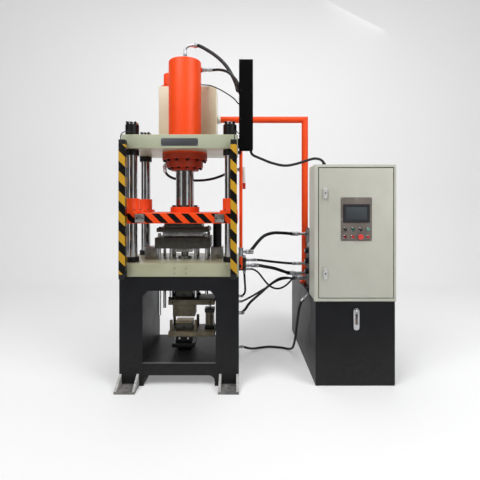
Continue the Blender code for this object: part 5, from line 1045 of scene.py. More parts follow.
caps = [bored_plate(FLOAT_CAP, FLOAT_CAP, FLOAT_LOW, FLOAT_LOW + FLOAT_CAP_H, 0.013, 0.0015, 0.003,
                    FLOAT_X),
        bored_plate(FLOAT_CAP, FLOAT_CAP, FLOAT_TOP - FLOAT_CAP_H, FLOAT_TOP, 0.013, 0.0015, 0.003,
                    FLOAT_X)]
shaped("float_caps", caps, black_oxide, "ejector", "float_cylinder", closed=True)
barrel = turned(((FLOAT_LOW + 0.030, 0.028), (FLOAT_LOW + 0.030, FLOAT_BARREL_R),
                 (FLOAT_TOP - 0.030, FLOAT_BARREL_R), (FLOAT_TOP - 0.030, 0.028)),
                at_press(FLOAT_X, 0), sides=48)
shaped("float_barrel", [barrel], olive_primer, "ejector", closed=True)
ties = [turned(((FLOAT_LOW + 0.004, 0.004), (FLOAT_TOP - 0.004, 0.004)),
               at_press(FLOAT_X + sx * TIE_AT, sy * TIE_AT), sides=16)
        for sx, sy in CORNERS]
shaped("float_tie_rods", ties, hard_chrome, "ejector")

# Header tank
# A tank of welded sheet on the crosshead, behind the cylinder, sprayed cream, with welds along its front
# edges. The prefill valve on top of it feeds the barrel.
HEADER = (-0.250, 0.250, 0.145, 0.445, 1.8956, 2.3986)
VALVE_AT, VALVE_FLANGE_R, VALVE_R = (-0.177, 0.225), 0.066, 0.045
VALVE_LOW, VALVE_FLANGE_TOP, VALVE_TOP, VALVE_NECK_Z, VALVE_NECK_R = 2.3989, 2.4170, 2.5330, 2.4750, 0.031

cream_enamel = enamel("cream_alkyd_enamel", "#E9E1C4", "#DDD3B2", 0.36, 0.30)
tank = press_box(*HEADER, 0.004, 0.006)
shaped("header_tank_shell", [tank], cream_enamel, node="prefill_tank")
left, right, front, _, low, high = HEADER
seam = [rippled(at_press(x, front + 0.003, low + 0.010), at_press(x, front + 0.003, high - 0.010), 0.0035,
                0.007)
        for x in (left + 0.003, right - 0.003)]
seam.append(rippled(at_press(left + 0.010, front + 0.003, high - 0.003),
                    at_press(right - 0.010, front + 0.003, high - 0.003), 0.0035, 0.007))
shaped("header_tank_seams", seam, cream_enamel)
valve = turned(((VALVE_LOW, VALVE_FLANGE_R), (VALVE_FLANGE_TOP, VALVE_FLANGE_R, 0.002),
                (VALVE_FLANGE_TOP, VALVE_R + 0.003), (VALVE_FLANGE_TOP + 0.003, VALVE_R),
                (VALVE_TOP - 0.012, VALVE_R),
                (VALVE_TOP - 0.003, VALVE_R - 0.008), (VALVE_TOP, VALVE_R - 0.012)), at_press(*VALVE_AT),
                sides=56)
away = np.array(VALVE_AT) / np.linalg.norm(VALVE_AT)
start = np.array((*(away * (BARREL_R - 0.004)), VALVE_NECK_Z)) + AXIS
neck = carried([start, np.array((*VALVE_AT, VALVE_NECK_Z)) + AXIS], VALVE_NECK_R, (0, 0, 1), 40)
shaped("prefill_valve_body", [valve, neck], orange_enamel, node="prefill_valve")
bolts = [hexagon(np.add(at_press(*VALVE_AT, VALVE_FLANGE_TOP), (0.0555 * np.cos(a), 0.0555 * np.sin(a), 0)),
                 0.0075, 0.009)
         for a in np.radians((15, 75, 135, 195, 255, 315))]
shaped("prefill_valve_bolts", bolts, black_oxide)

# Suction pipe
# An orange steel pipe from the header tank's side, across the gap and down to the oil tank: two straight
# runs mitred and welded at the corner, with a bare weld ring where it leaves the tank.
SUCTION_Y, SUCTION_Z, SUCTION_R = 0.380, 2.1576, 0.030
SUCTION_START, SUCTION_DOWN, SUCTION_LOW = 0.2503, 1.066, 0.6353
WELD_RING_R, WELD_RING_L, FOOT_R, FOOT_H = 0.040, 0.030, 0.050, 0.016

angles = np.linspace(0, 2 * np.pi, 56, endpoint=False)
c, s = SUCTION_R * np.cos(angles), SUCTION_R * np.sin(angles)
mitre = np.column_stack([SUCTION_DOWN + c, SUCTION_Y + s, SUCTION_Z + c])
across = np.stack([np.column_stack([np.full(56, SUCTION_START), SUCTION_Y + s, SUCTION_Z + c]), mitre])
down = np.stack([mitre, np.column_stack([SUCTION_DOWN + c, SUCTION_Y + s, np.full(56, SUCTION_LOW)])])
shaped("suction_pipe_runs", [across + AXIS, down[:, ::-1] + AXIS], orange_enamel, node="suction_pipe")
bead = [carried(np.vstack([mitre, mitre[:1]]) + AXIS, 0.0028, (0.7, 0, 0.71), 8)]
shaped("suction_pipe_mitre_weld", bead, orange_enamel)
foot = turned(((SUCTION_LOW, FOOT_R), (SUCTION_LOW + FOOT_H, FOOT_R, 0.002),
               (SUCTION_LOW + FOOT_H, SUCTION_R + 0.005), (SUCTION_LOW + FOOT_H + 0.005, SUCTION_R)),
               at_press(SUCTION_DOWN, SUCTION_Y), sides=48)
shaped("suction_pipe_foot", [foot], orange_enamel)

# Bare weld metal, brushed: pale silver with a hint of straw where the heat reached.
bare_weld = finish("brushed_weld_metal", "#D9D6CE", 0.38, 0.6,
                   tones=(("#C2BDB0", "#E4E2DC"), 0.010, 0.35, 0.65), bumps=(0.003, 0.0012, 0.6))
ring = turned(((0, SUCTION_R - 0.001), (0, WELD_RING_R - 0.003), (0.004, WELD_RING_R),
               (WELD_RING_L - 0.010, WELD_RING_R - 0.002),
               (WELD_RING_L, SUCTION_R + 0.001)), at_press(SUCTION_START, SUCTION_Y, SUCTION_Z), RIGHT, 48)
shaped("suction_weld_ring", [ring], bare_weld, slot="orange_paint")

# Light curtains
# A post on each side of the working gap, wrapped in yellow and black tape, with black end caps. Its window
# strip looks across at the other post, and two folded brackets hold it off the table and the crosshead.
CURTAIN_X, CURTAIN_HALF, CURTAIN_FRONT, CURTAIN_BACK = 0.412, 0.024, -0.381, -0.321
CURTAIN_LOW, CURTAIN_TOP, CURTAIN_CAP = 0.8140, 1.8440, 0.036
CURTAIN_STRIPE, CURTAIN_STRIPE_STARTS = 0.1465, {"left": 0.080, "right": -0.035}
BRACKET_LEVELS = ((0.8453, -0.315), (1.8153, -0.300))

# Injection-moulded black plastic: even, satin, finely textured.
black_plastic = finish("moulded_black_plastic", "#0F0F10", 0.45,
                       tones=(("#0C0C0E", "#141416"), 0.030, 0.35, 0.65), bumps=(0.0008, 0.0002, 0.3),
                       Specular_IOR_Level=0.4)

# Tinted acrylic: nearly black and glossy.
tinted_window = finish("tinted_acrylic", "#0B0D12", 0.08, gloss=(0.02, 0.05, 0.16), Coat_Weight=0.5)
for name, side in (("left", -1), ("right", 1)):
    x = side * CURTAIN_X
    yellow_black = striped(f"yellow_and_black_hazard_tape_{name}", ("#C09428", "#070706"), CURTAIN_STRIPE,
                           CURTAIN_STRIPE_STARTS[name])
    post = press_box(x - CURTAIN_HALF, x + CURTAIN_HALF, CURTAIN_FRONT, CURTAIN_BACK,
                     CURTAIN_LOW + CURTAIN_CAP, CURTAIN_TOP - CURTAIN_CAP, 0.0004, 0.004)
    node = f"light_curtain_{name}"
    shaped(node + "_post", [post], yellow_black, node=node, slot="yellow_paint")
    caps = [press_box(x - CURTAIN_HALF, x + CURTAIN_HALF, CURTAIN_FRONT, CURTAIN_BACK, low,
                      low + CURTAIN_CAP, 0.0015, 0.005)
            for low in (CURTAIN_LOW, CURTAIN_TOP - CURTAIN_CAP)]
    shaped(node + "_caps", caps, black_plastic)
    face = x - side * CURTAIN_HALF
    window = press_box(min(face, face - side * 0.0008), max(face, face - side * 0.0008),
                       CURTAIN_FRONT + 0.012, CURTAIN_BACK - 0.018,
                       CURTAIN_LOW + 0.060, CURTAIN_TOP - 0.060, 0.0003)
    shaped(node + "_window", [window], tinted_window, slot="black_plastic")
    brackets = [press_box(x - 0.015, x + 0.015, CURTAIN_BACK - 0.001, face_y - GAP, level, level + 0.030,
                          0.001)
                for level, face_y in BRACKET_LEVELS]
    shaped(node + "_brackets", brackets, zinc_plate)

# Hose duct
# A box duct of folded black sheet on the crosshead's right end. The hoses go in through rubber boots on its
# side, and the control cable comes out of its foot.
DUCT_LEFT, DUCT_RIGHT, DUCT_FRONT, DUCT_LOW, DUCT_TOP = -0.1370, -0.0300, -0.5250, 1.7903, 2.4763

# Powder-coated sheet: black, finely pebbled.
black_coat = finish("black_powder_coat", "#060607", 0.60, tones=(("#050506", "#09090A"), 0.15, 0.35, 0.70),
                    bumps=(0.0012, 0.0004, 0.4), Specular_IOR_Level=0.05)
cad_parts["hose_duct"].material_slots[0].material = black_coat
seams = [rounded_box((x, DUCT_FRONT - 0.0008, DUCT_LOW + 0.012),
                     (x + 0.0012, DUCT_FRONT + 0.0005, DUCT_TOP - 0.012), 0.0003)
         for x in (DUCT_LEFT + 0.0065, DUCT_RIGHT - 0.0077)]
shaped("hose_duct_seams", seams, black_coat, slot="duct_paint")
boots = []
for name in ("top_hose", "side_hose"):
    diameter, _, _, points = ROUTES[name]
    tip = np.array(points[-1])
    down = (tip - points[-2]) / np.linalg.norm(tip - points[-2])
    turn = tip + down * 0.020
    boots.append(carried(bent((tip - down * 0.004, turn, (DUCT_LEFT + 0.002, turn[1], turn[2])), 0.006),
                         diameter * 0.56, (0, 0, 1), 28))
    boots.append(turned(((0, diameter * 0.95), (0.003, diameter * 0.95), (0.005, diameter * 0.75)),
                        (DUCT_LEFT, turn[1], turn[2]), LEFT, 36))
shaped("hose_duct_boots", boots, hose_rubber)
screws = [turned(((0, 0.0038), (0.0012, 0.0036), (0.0020, 0.0020)), (x, DUCT_FRONT, z), FRONT, 16)
          for x in (DUCT_LEFT + 0.013, DUCT_RIGHT - 0.013) for z in (1.812, 2.020, 2.240, 2.455)]
shaped("hose_duct_screws", screws, black_oxide)

# Side pipe and sensor
# The orange pipe down the press's right side, in two clamps, with a tee for the pressure hose. A slim
# proximity sensor on a red foot stands beside it.
SIDE_X, SIDE_Y, SIDE_R, SIDE_LOW, SIDE_TOP = 0.467, 0.035, 0.014, 0.8223, 1.8403
TEE_Z, TEE_R, TEE_HALF, PORT_R, TEE_END = 0.9663, 0.020, 0.023, 0.012, 0.511


def stub(start, side, length, nuts):
    """A straight fitting to one side: a round of a port's size with hexagons, each a place along it, a
    size and a height."""
    start, direction = np.array(start), (side, 0, 0)
    return [turned(((0, PORT_R), (length, PORT_R)), start, direction, 28),
            *(hexagon(start + (side * at, 0, 0), size, height, direction) for at, size, height in nuts)]


pipe = turned(((SIDE_LOW, SIDE_R, 0.001), (SIDE_TOP, SIDE_R, 0.004)), at_press(SIDE_X, SIDE_Y), sides=40)
shaped("side_pipe_run", [pipe], orange_enamel, node="side_pipe")
tee = [turned(drum(TEE_Z - TEE_HALF, TEE_Z + TEE_HALF, TEE_R), at_press(SIDE_X, SIDE_Y), sides=36),
       *stub(at_press(SIDE_X, SIDE_Y, TEE_Z), 1, TEE_END - SIDE_X, ())]
tee += [hexagon(at_press(SIDE_X, SIDE_Y, z), 0.0215, 0.014)
        for z in (TEE_Z + TEE_HALF, TEE_Z - TEE_HALF - 0.014)]
shaped("side_pipe_tee", tee, zinc_plate)
stick = press_box(0.4818, 0.5045, SIDE_Y - 0.008, SIDE_Y + 0.008, 1.547, 1.682, 0.002, 0.006)
foot = press_box(0.4818, 0.5065, SIDE_Y - 0.009, SIDE_Y + 0.009, 1.496, 1.547, 0.002, 0.006)
plastic = finish("white_moulded_sensor_plastic", "#F4F2EE", 0.35,
                 tones=(("#EAE8E2", "#F8F7F4"), 0.020, 0.35, 0.65))
shaped("side_sensor_stick", [stick], plastic, slot="black_plastic")
plastic = finish("red_moulded_sensor_plastic", "#C82A20", 0.35,
                 tones=(("#B4241B", "#D63427"), 0.020, 0.35, 0.65))
shaped("side_sensor_foot", [foot], plastic, slot="red_plastic")
clamps = [press_box(face + GAP, SIDE_X + 0.004, SIDE_Y - 0.020, SIDE_Y + 0.020, level - 0.013,
                    level + 0.013, 0.002, 0.003)
          for face, level in ((0.450, 0.8463), (0.4425, 1.8033))]
shaped("side_pipe_clamps", clamps, black_plastic)

# Manifold
# A drilled steel block on the table's right end, with steel fittings for the hoses and blued plugs in its
# front.
MANIFOLD = (0.4503, 0.5103, 0.075, 0.255, 0.800, 0.910)
MANIFOLD_PORTS = ((0.2154, 0.8726, 0.5643), (0.1362, 0.8363, 0.5603))

shaped("manifold_block", [press_box(*MANIFOLD, 0.002, 0.003)], tool_steel, node="manifold")
fittings = [part for y, z, end in MANIFOLD_PORTS for part in stub(
    at_press(MANIFOLD[1], y, z), 1, end - MANIFOLD[1], ((0, 0.0185, 0.013), (0.018, 0.0165, 0.014)))]
shaped("manifold_fittings", fittings, zinc_plate)
plugs = [socket_head(at_press(x, MANIFOLD[2], z), 0.009, 0.004, FRONT) for x in (0.468, 0.493)
         for z in (0.826, 0.884)]
shaped("manifold_plugs", plugs, black_oxide)

# Oil tank
# A welded box of plate in the same dark enamel as the base, with a lid plate that laps its walls, a row of
# screws along each side of the lid and a slanting steel fitting for the return hose.
UNIT_X, UNIT_Y, UNIT_HALF, TANK_LENGTH, TANK_TOP = 0.738, -0.575, 0.300, 1.280, 0.635
LID_T = 0.010
RETURN_AT, RETURN_REACH, RETURN_R = (-0.300, 0.300, 0.618), 0.036, 0.012


def at_unit(x, y, z=0.0):
    """A place given from the middle of the power unit's front edge, in the machine's frame."""
    return (UNIT_X + x, UNIT_Y + y, z)


def unit_box(x0, x1, y0, y1, z0, z1, edge=0.003, corner=0.0):
    """A rounded box given from the middle of the unit's front edge."""
    return rounded_box(at_unit(x0, y0, z0), at_unit(x1, y1, z1), edge, corner)


walls = unit_box(-UNIT_HALF + 0.0015, UNIT_HALF - 0.0015, 0.0015, TANK_LENGTH - 0.0015, 0.0,
                 TANK_TOP - LID_T, 0.004, 0.006)
lid = unit_box(-UNIT_HALF, UNIT_HALF, 0.0, TANK_LENGTH, TANK_TOP - LID_T, TANK_TOP, 0.0015, 0.004)
shaped("oil_tank_walls", [walls, lid], dark_enamel, node="oil_tank")
corners = [rippled(at_unit(x, 0.0030, 0.010), at_unit(x, 0.0030, TANK_TOP - LID_T - 0.004), 0.0035, 0.007)
           for x in (-UNIT_HALF + 0.0045, UNIT_HALF - 0.0045)]
shaped("oil_tank_corner_welds", corners, dark_enamel)
screws = [hexagon(at_unit(x, y, TANK_TOP), 0.008, 0.007)
          for x in (-0.285, 0.285) for y in np.linspace(0.300, 1.260, 7)]
shaped("oil_tank_lid_screws", screws, zinc_plate)
down_left = np.array((-1, 0, -1)) / np.sqrt(2)
start = np.array(at_unit(*RETURN_AT))
fitting = [turned(((-0.004, RETURN_R), (RETURN_REACH, RETURN_R)), start, down_left, 28),
           hexagon(start, 0.018, 0.014, down_left)]
shaped("return_fitting", fitting, zinc_plate)

# Filler cap
# A black moulded breather cap with grip ribs, pushed into the lid.
CAP_AT, CAP_R, CAP_LOW, CAP_TOP = (0.200, 1.150), 0.045, ON_LID, 0.690

rings = turned(((CAP_LOW, CAP_R - 0.004), (CAP_LOW + 0.003, CAP_R), (CAP_LOW + 0.006, CAP_R),
                (CAP_LOW + 0.007, CAP_R - 0.006),
                (CAP_LOW + 0.014, CAP_R - 0.006), (CAP_LOW + 0.015, CAP_R), (CAP_TOP - 0.006, CAP_R),
                (CAP_TOP - 0.001, CAP_R - 0.004),
                (CAP_TOP, CAP_R - 0.008)), at_unit(*CAP_AT), sides=96)
centre = np.array(at_unit(*CAP_AT)[:2])
ribs = 1 - 0.018 * (np.arange(96) % 4 < 2)
rings[5:7, :, :2] = centre + (rings[5:7, :, :2] - centre) * ribs[:, None]
shaped("filler_cap_moulded", [rings], black_plastic, node="filler_cap")

# Level gauge
# A bright frame with round ends on the tank's front, held by a bolt at each end, with a sight window over
# amber oil.
LEVEL_X, LEVEL_HALF, LEVEL_LOW, LEVEL_TOP = 0.005, 0.0225, 0.422, 0.587


def front_plate(x0, x1, z0, z1, back, out, edge=0.001, corner=0.0, turns=6):
    """A plate that faces the front: a rounded box tipped up, (x, y, z) to (x, back - z, y)."""
    rings = rounded_box((x0, z0, 0), (x1, z1, out), edge, corner, turns=turns)
    return np.stack([rings[..., 0], back - rings[..., 2], rings[..., 1]], axis=-1)


x = UNIT_X + LEVEL_X
frame_plate = front_plate(x - LEVEL_HALF, x + LEVEL_HALF, LEVEL_LOW, LEVEL_TOP, UNIT_Y - GAP, 0.014, 0.003,
                          0.0205)
shaped("level_gauge_frame", [frame_plate], hard_chrome, node="level_gauge")

# Amber oil behind a clear window: deep brown-orange, very glossy.
amber_oil = finish("amber_oil_behind_acrylic", "#6B3A14", 0.07,
                   tones=(("#35190A", "#6E3E18"), 0.030, 0.35, 0.65), Coat_Weight=1.0)
window = front_plate(x - 0.0085, x + 0.0085, LEVEL_LOW + 0.043, LEVEL_TOP - 0.043, UNIT_Y - 0.013, 0.0035,
                     0.001, 0.003)
shaped("level_gauge_window", [window], tinted_window, slot="chrome")
oil = front_plate(x - 0.0045, x + 0.0045, LEVEL_LOW + 0.047, LEVEL_TOP - 0.068, UNIT_Y - 0.0158, 0.0012,
                  0.0004, 0.002)
shaped("level_gauge_oil", [oil], amber_oil, slot="chrome")
heads = [hexagon((x, UNIT_Y - 0.0143, z), 0.0105, 0.0052, FRONT)
         for z in (LEVEL_LOW + 0.019, LEVEL_TOP - 0.019)]
shaped("level_gauge_bolts", heads, zinc_plate)

# Cabinet
# A folded sheet cabinet on the tank's lid, powder-coated pale grey-green, with a rim round its door opening
# and a lip that the door shuts on. The door's seal runs round the lip.
CABINET_LOW, CABINET_TOP, CABINET_DEPTH, CABINET_WALL = ON_LID, 1.6663, 0.250, 0.003
RIM_LEFT, RIM_RIGHT, RIM_END, RIM_LIP, RIM_DEPTH, LIP_DEPTH = 0.021, 0.008, 0.021, 0.019, 0.0223, 0.026
RIM_PAST, RIM_BACK = 0.008, 0.030


def inset_tray(x0, x1, z0, z1, front, levels, corner=0.0015):
    """Rings of a folded box that faces the front: rectangles with round corners inside x0..x1, z0..z1.

    Each level is a depth behind the front, and how far all the sides, or left, right and ends, are drawn in.
    """
    angles = (np.arange(4)[:, None] + np.linspace(0, 1, 4)) * np.pi / 2
    spokes = np.stack([np.cos(angles), np.sin(angles)], axis=-1)
    signs = np.array([(1, 1), (-1, 1), (-1, -1), (1, -1)])
    rings = []
    for depth, *insets in levels:
        left, right, end = insets * 3 if len(insets) == 1 else insets
        low, high = np.array((x0 + left, z0 + end)), np.array((x1 - right, z1 - end))
        corners = signs * ((high - low) / 2 - corner)
        ring = (corners[:, None] + corner * spokes).reshape(-1, 2) + (low + high) / 2
        rings.append(np.column_stack([ring[:, 0], np.full(len(ring), front + depth), ring[:, 1]]))
    return np.stack(rings)


left, right = UNIT_X - UNIT_HALF, UNIT_X + UNIT_HALF
shell = inset_tray(left, right, CABINET_LOW, CABINET_TOP, UNIT_Y, (
    (CABINET_DEPTH, 0.002), (CABINET_DEPTH - 0.002, 0), (RIM_BACK + 0.001, 0),
    (RIM_BACK, -RIM_PAST, -RIM_PAST, 0),
    (0.0025, -RIM_PAST, -RIM_PAST, 0), (0.0008, 0.0007 - RIM_PAST, 0.0007 - RIM_PAST, 0.0007),
    (0, 0.0025 - RIM_PAST, 0.0025 - RIM_PAST, 0.0025),
    (0, RIM_LEFT - 0.001, RIM_RIGHT - 0.001, RIM_END - 0.001),
    (0.001, RIM_LEFT, RIM_RIGHT, RIM_END), (RIM_DEPTH, RIM_LEFT, RIM_RIGHT, RIM_END),
    *((depth, RIM_LEFT + RIM_LIP, RIM_RIGHT + RIM_LIP, RIM_END + RIM_LIP)
      for depth in (RIM_DEPTH, LIP_DEPTH)),
    (LIP_DEPTH, CABINET_WALL), (CABINET_DEPTH - CABINET_WALL, CABINET_WALL),
))


# Baked powder coat: a fine, even orange peel and a soft sheen, greyer where hands and dust have been.
cabinet_coat = finish("pale_grey_green_powder_coat", "#BCBDB1", 0.42,
                      tones=(("#AEAFA2", "#BCBDB1"), 0.35, 0.20, 0.55),
                      bumps=(0.0018, 0.0004, 0.25), gloss=(0.15, 0.36, 0.52))
shaped("cabinet_shell", [shell], cabinet_coat, node="cabinet_body")
gland = [turned(((0, 0.019), (0.006, 0.019), (0.008, 0.016), (0.020, 0.015), (0.022, 0.0125)),
                (0.526, -0.468, CABINET_TOP), sides=32)]
shaped("cabinet_cable_gland", gland, black_plastic)

# Cabinet door
# A folded door on its right-hand hinge, in the same coat, flush in the rim, with its edges turned in.
DOOR_LEFT, DOOR_RIGHT, DOOR_LOW, DOOR_TOP = 0.4655, 1.0240, 0.6628, 1.6388
DOOR_T, DOOR_SKIN, DOOR_EDGE = 0.022, 0.003, 0.020

leaf = inset_tray(DOOR_LEFT, DOOR_RIGHT, DOOR_LOW, DOOR_TOP, UNIT_Y, (
    (DOOR_SKIN, DOOR_EDGE), (DOOR_T, DOOR_EDGE), (DOOR_T, 0.001), (DOOR_T - 0.001, 0), (0.0025, 0),
    (0.0008, 0.0007),
    (0, 0.0025),
), 0.003)
shaped("cabinet_door_leaf", [leaf], cabinet_coat, "door", "cabinet_door")
seal = inset_tray(
    DOOR_LEFT - 0.0055, DOOR_RIGHT + 0.0050, DOOR_LOW - 0.0055, DOOR_TOP + 0.0055, UNIT_Y + DOOR_T,
    ((-0.0005, 0), (-0.0005, 0.018), (0.0002, 0.006), (0.0002, 0.002)),
)
shaped("door_seal", [seal], hose_rubber, "door", closed=True)

# Control panel
# A brown-grey plate on the door, with screws at its corners and mid-edges. A black-framed operator screen,
# switched off, is let into its upper half, and a steel ring holds each push-button in the two rows below.
PANEL_LEFT, PANEL_RIGHT, PANEL_LOW = 0.628, 0.862, 1.0913
PANEL_TOP, PANEL_BACK, PANEL_T = 1.4183, -0.5753, 0.003
SCREEN_LEFT, SCREEN_RIGHT, SCREEN_LOW = 0.645, 0.845, 1.2293
SCREEN_TOP, SCREEN_T, SCREEN_RIM = 1.3673, 0.006, 0.021
PANEL_FACE = PANEL_BACK - PANEL_T
COLUMNS_X, UPPER_ROW, LOWER_ROW = (0.65905, 0.71635, 0.77365, 0.83095), 1.1783, 1.1213
BEZEL_R, BEZEL_H = 0.0150, 0.007

panel_coat = finish("brown_grey_panel_lacquer", "#6A625C", 0.50,
                    tones=(("#625A54", "#726963"), 0.10, 0.35, 0.65), bumps=(0.0009, 0.0002, 0.25))
plate = front_plate(PANEL_LEFT, PANEL_RIGHT, PANEL_LOW, PANEL_TOP, PANEL_BACK, PANEL_T, 0.0008, 0.004)
shaped("panel_plate", [plate], panel_coat, "door", "control_panel", "panel_paint")
middle_x, middle_z = (PANEL_LEFT + PANEL_RIGHT) / 2, (PANEL_LOW + PANEL_TOP) / 2
spots = [(PANEL_LEFT + 0.007, PANEL_LOW + 0.007), (PANEL_RIGHT - 0.007, PANEL_LOW + 0.007),
         (PANEL_LEFT + 0.007, PANEL_TOP - 0.007),
         (PANEL_RIGHT - 0.007, PANEL_TOP - 0.007), (middle_x, PANEL_TOP - 0.007),
         (middle_x, PANEL_LOW + 0.007),
         (PANEL_LEFT + 0.007, middle_z), (PANEL_RIGHT - 0.007, middle_z)]
screws = [turned(((0, 0.0032), (0.0010, 0.0030), (0.0016, 0.0018)), (x, PANEL_FACE, z), FRONT, 14)
          for x, z in spots]
shaped("panel_screws", screws, zinc_plate, "door")
bezel = inset_tray(SCREEN_LEFT, SCREEN_RIGHT, SCREEN_LOW, SCREEN_TOP, PANEL_FACE - SCREEN_T, (
    (SCREEN_T, 0), (0.0015, 0), (0, 0.0015), (0, SCREEN_RIM), (0.0015, SCREEN_RIM + 0.001),
), 0.005)
screen_frame = finish("screen_frame_plastic", "#1F1F21", 0.45, bumps=(0.0008, 0.0002, 0.25))
shaped("screen_bezel", [bezel], screen_frame, "door", slot="black_plastic")

# Screen glass, switched off: blue-grey and smooth, with a faint vertical fall in brightness.
dark_glass, tree, shader, where = surface("screen_glass_off", "#3A4349", 0.32, Specular_IOR_Level=0.3)
tone = layered(tree, "#363B3F", (along(tree, where, "Z", SCREEN_LOW, SCREEN_TOP), "#454C50"))
tree.links.new(tone, shader.inputs["Base Color"])
glass = front_plate(SCREEN_LEFT + SCREEN_RIM + 0.0005, SCREEN_RIGHT - SCREEN_RIM - 0.0005,
                    SCREEN_LOW + SCREEN_RIM + 0.0005, SCREEN_TOP - SCREEN_RIM - 0.0005,
                    PANEL_FACE - SCREEN_T + 0.003, 0.0018, 0.0004, 0.003)
shaped("screen_glass", [glass], dark_glass, "door", slot="black_plastic")
bezels = [turned(((0, BEZEL_R), (BEZEL_H, BEZEL_R, 0.002), (BEZEL_H, 0.0122), (0, 0.0122)),
                 (x, PANEL_FACE, z), FRONT, 40) for x in COLUMNS_X for z in (UPPER_ROW, LOWER_ROW)]
shaped("operator_rings", bezels, hard_chrome, "door", closed=True)

# Push-buttons and selectors
# Domed caps in steel rings, a mushroom for the emergency stop, and two black selectors with a white line on
# the grip.
BUTTON_R, BUTTON_LIFT, BUTTON_TOP = 0.0115, 0.0052, 0.0130
MUSHROOM_R, MUSHROOM_LOW, MUSHROOM_TOP = 0.021, 0.0123, 0.0243
SELECTOR_H, GRIP_HALF_X, GRIP_HALF_Z, GRIP_LOW, GRIP_TOP = 0.010, 0.0035, 0.010, 0.0085, 0.0165


def moulded(name, code, deep):
    """Glossy moulded plastic, a shade deeper towards its edges."""
    made, tree, shader, where = surface(name, code, 0.22, Coat_Weight=0.35, Specular_IOR_Level=0.5)
    facing = add(tree, "ShaderNodeLayerWeight", {"Blend": 0.35}).outputs["Facing"]
    tree.links.new(layered(tree, code, (facing, deep)), shader.inputs["Base Color"])
    worn_gloss(tree, shader, where, 0.006, 0.16, 0.32)
    return made


green_cap = moulded("green_moulded_plastic", "#0F5C48", "#08382C")
lit_cap = moulded("pale_green_lens", "#5AA08A", "#2A6E5C")
red_cap = moulded("red_moulded_plastic", "#B03034", "#74181C")
dark_red_cap = moulded("dark_red_moulded_plastic", "#741C22", "#420C10")
mushroom_red = moulded("coral_red_moulded_plastic", "#D83A36", "#9C2220")
white_mark = moulded("white_moulded_plastic", "#E6E6E2", "#C9C9C4")
t = np.linspace(0, np.pi / 2, 6)
dome = [(BUTTON_TOP - 0.0022 * (1 - np.sin(a)), BUTTON_R - 0.0045 * (1 - np.cos(a))) for a in t]
for name, x, z, paint, slot in (
    ("start_button", COLUMNS_X[1], UPPER_ROW, green_cap, "green_plastic"),
    ("run_button", COLUMNS_X[3], UPPER_ROW, lit_cap, "green_plastic"),
    ("return_button", COLUMNS_X[0], LOWER_ROW, dark_red_cap, "red_plastic"),
    ("stop_button", COLUMNS_X[1], LOWER_ROW, red_cap, "red_plastic"),
    ("down_button", COLUMNS_X[3], LOWER_ROW, red_cap, "red_plastic"),
):
    cap = turned(((BUTTON_LIFT, BUTTON_R, 0.0005), *dome), (x, PANEL_FACE, z), FRONT, 40)
    shaped(name + "_cap", [cap], paint, name, name, slot)
t = np.linspace(-np.pi / 2, np.pi / 2, 13)
edge = [((MUSHROOM_LOW + MUSHROOM_TOP) / 2 - 0.001 + 0.0045 * np.sin(a),
         MUSHROOM_R - 0.004 + 0.004 * np.cos(a)) for a in t]
mushroom = turned(((BUTTON_LIFT, 0.0098), (edge[0][0], 0.0098), *edge, (MUSHROOM_TOP - 0.0012, 0.0130),
                   (MUSHROOM_TOP - 0.0003, 0.0080), (MUSHROOM_TOP, 0.0030)),
                  (COLUMNS_X[2], PANEL_FACE, LOWER_ROW), FRONT, 56)
shaped("emergency_stop_mushroom", [mushroom], mushroom_red, "emergency_stop", "emergency_stop",
       "red_plastic")
for name, x in (("left_selector", COLUMNS_X[0]), ("right_selector", COLUMNS_X[2])):
    body = turned(((0.0003, BUTTON_R), (SELECTOR_H, BUTTON_R, 0.001)), (x, PANEL_FACE, UPPER_ROW), FRONT,
                  40)
    grip = front_plate(x - GRIP_HALF_X, x + GRIP_HALF_X, UPPER_ROW - GRIP_HALF_Z, UPPER_ROW + GRIP_HALF_Z,
                       PANEL_FACE - GRIP_LOW, GRIP_TOP - GRIP_LOW, 0.0012, 0.0030)
    shaped(name + "_knob", [body, grip], black_plastic, name, name)
    line = front_plate(x - 0.0008, x + 0.0008, UPPER_ROW + 0.001, UPPER_ROW + GRIP_HALF_Z - 0.0005,
                       PANEL_FACE - GRIP_TOP + 0.0004, 0.0006, 0.0002)
    shaped(name + "_mark", [line], white_mark, name, slot="black_plastic")

# Latches
# Two swing handles of satin-chromed zinc with round ends, on a round rosette; a black lock plug is in the
# middle.
LATCH_X, LATCH_HALF_W, LATCH_HALF_H = 0.510, 0.015, 0.042
LATCH_LOW, LATCH_TOP, LATCH_BACK = 0.004, 0.018, -0.5753

# Die-cast zinc, satin chromed: a soft pale metal with faint casting unevenness.
satin_zinc = finish("satin_chromed_zinc", "#D0D1D0", 0.42, 0.55,
                    tones=(("#BFC0BF", "#DADBDA"), 0.012, 0.35, 0.65), bumps=(0.002, 0.0003))
for name, z in (("upper_latch", 1.4494), ("lower_latch", 0.8463)):
    rosette = turned(((0, LATCH_HALF_W), (LATCH_LOW + 0.001, LATCH_HALF_W),
                      (LATCH_LOW + 0.002, LATCH_HALF_W - 0.002)), (LATCH_X, LATCH_BACK, z), FRONT, 40)
    grip = front_plate(LATCH_X - LATCH_HALF_W, LATCH_X + LATCH_HALF_W, z - LATCH_HALF_H, z + LATCH_HALF_H,
                       LATCH_BACK - LATCH_LOW, LATCH_TOP - LATCH_LOW, 0.005, 0.0145, 10)
    shaped(name + "_handle", [rosette, grip], satin_zinc, name, name, "chrome")
    plug = turned(((0, 0.0062), (0.0006, 0.0062), (0.0010, 0.0054)),
                  (LATCH_X, LATCH_BACK - LATCH_TOP + 0.0008, z), FRONT, 28)
    shaped(name + "_plug", [plug], black_plastic, name, slot="chrome")

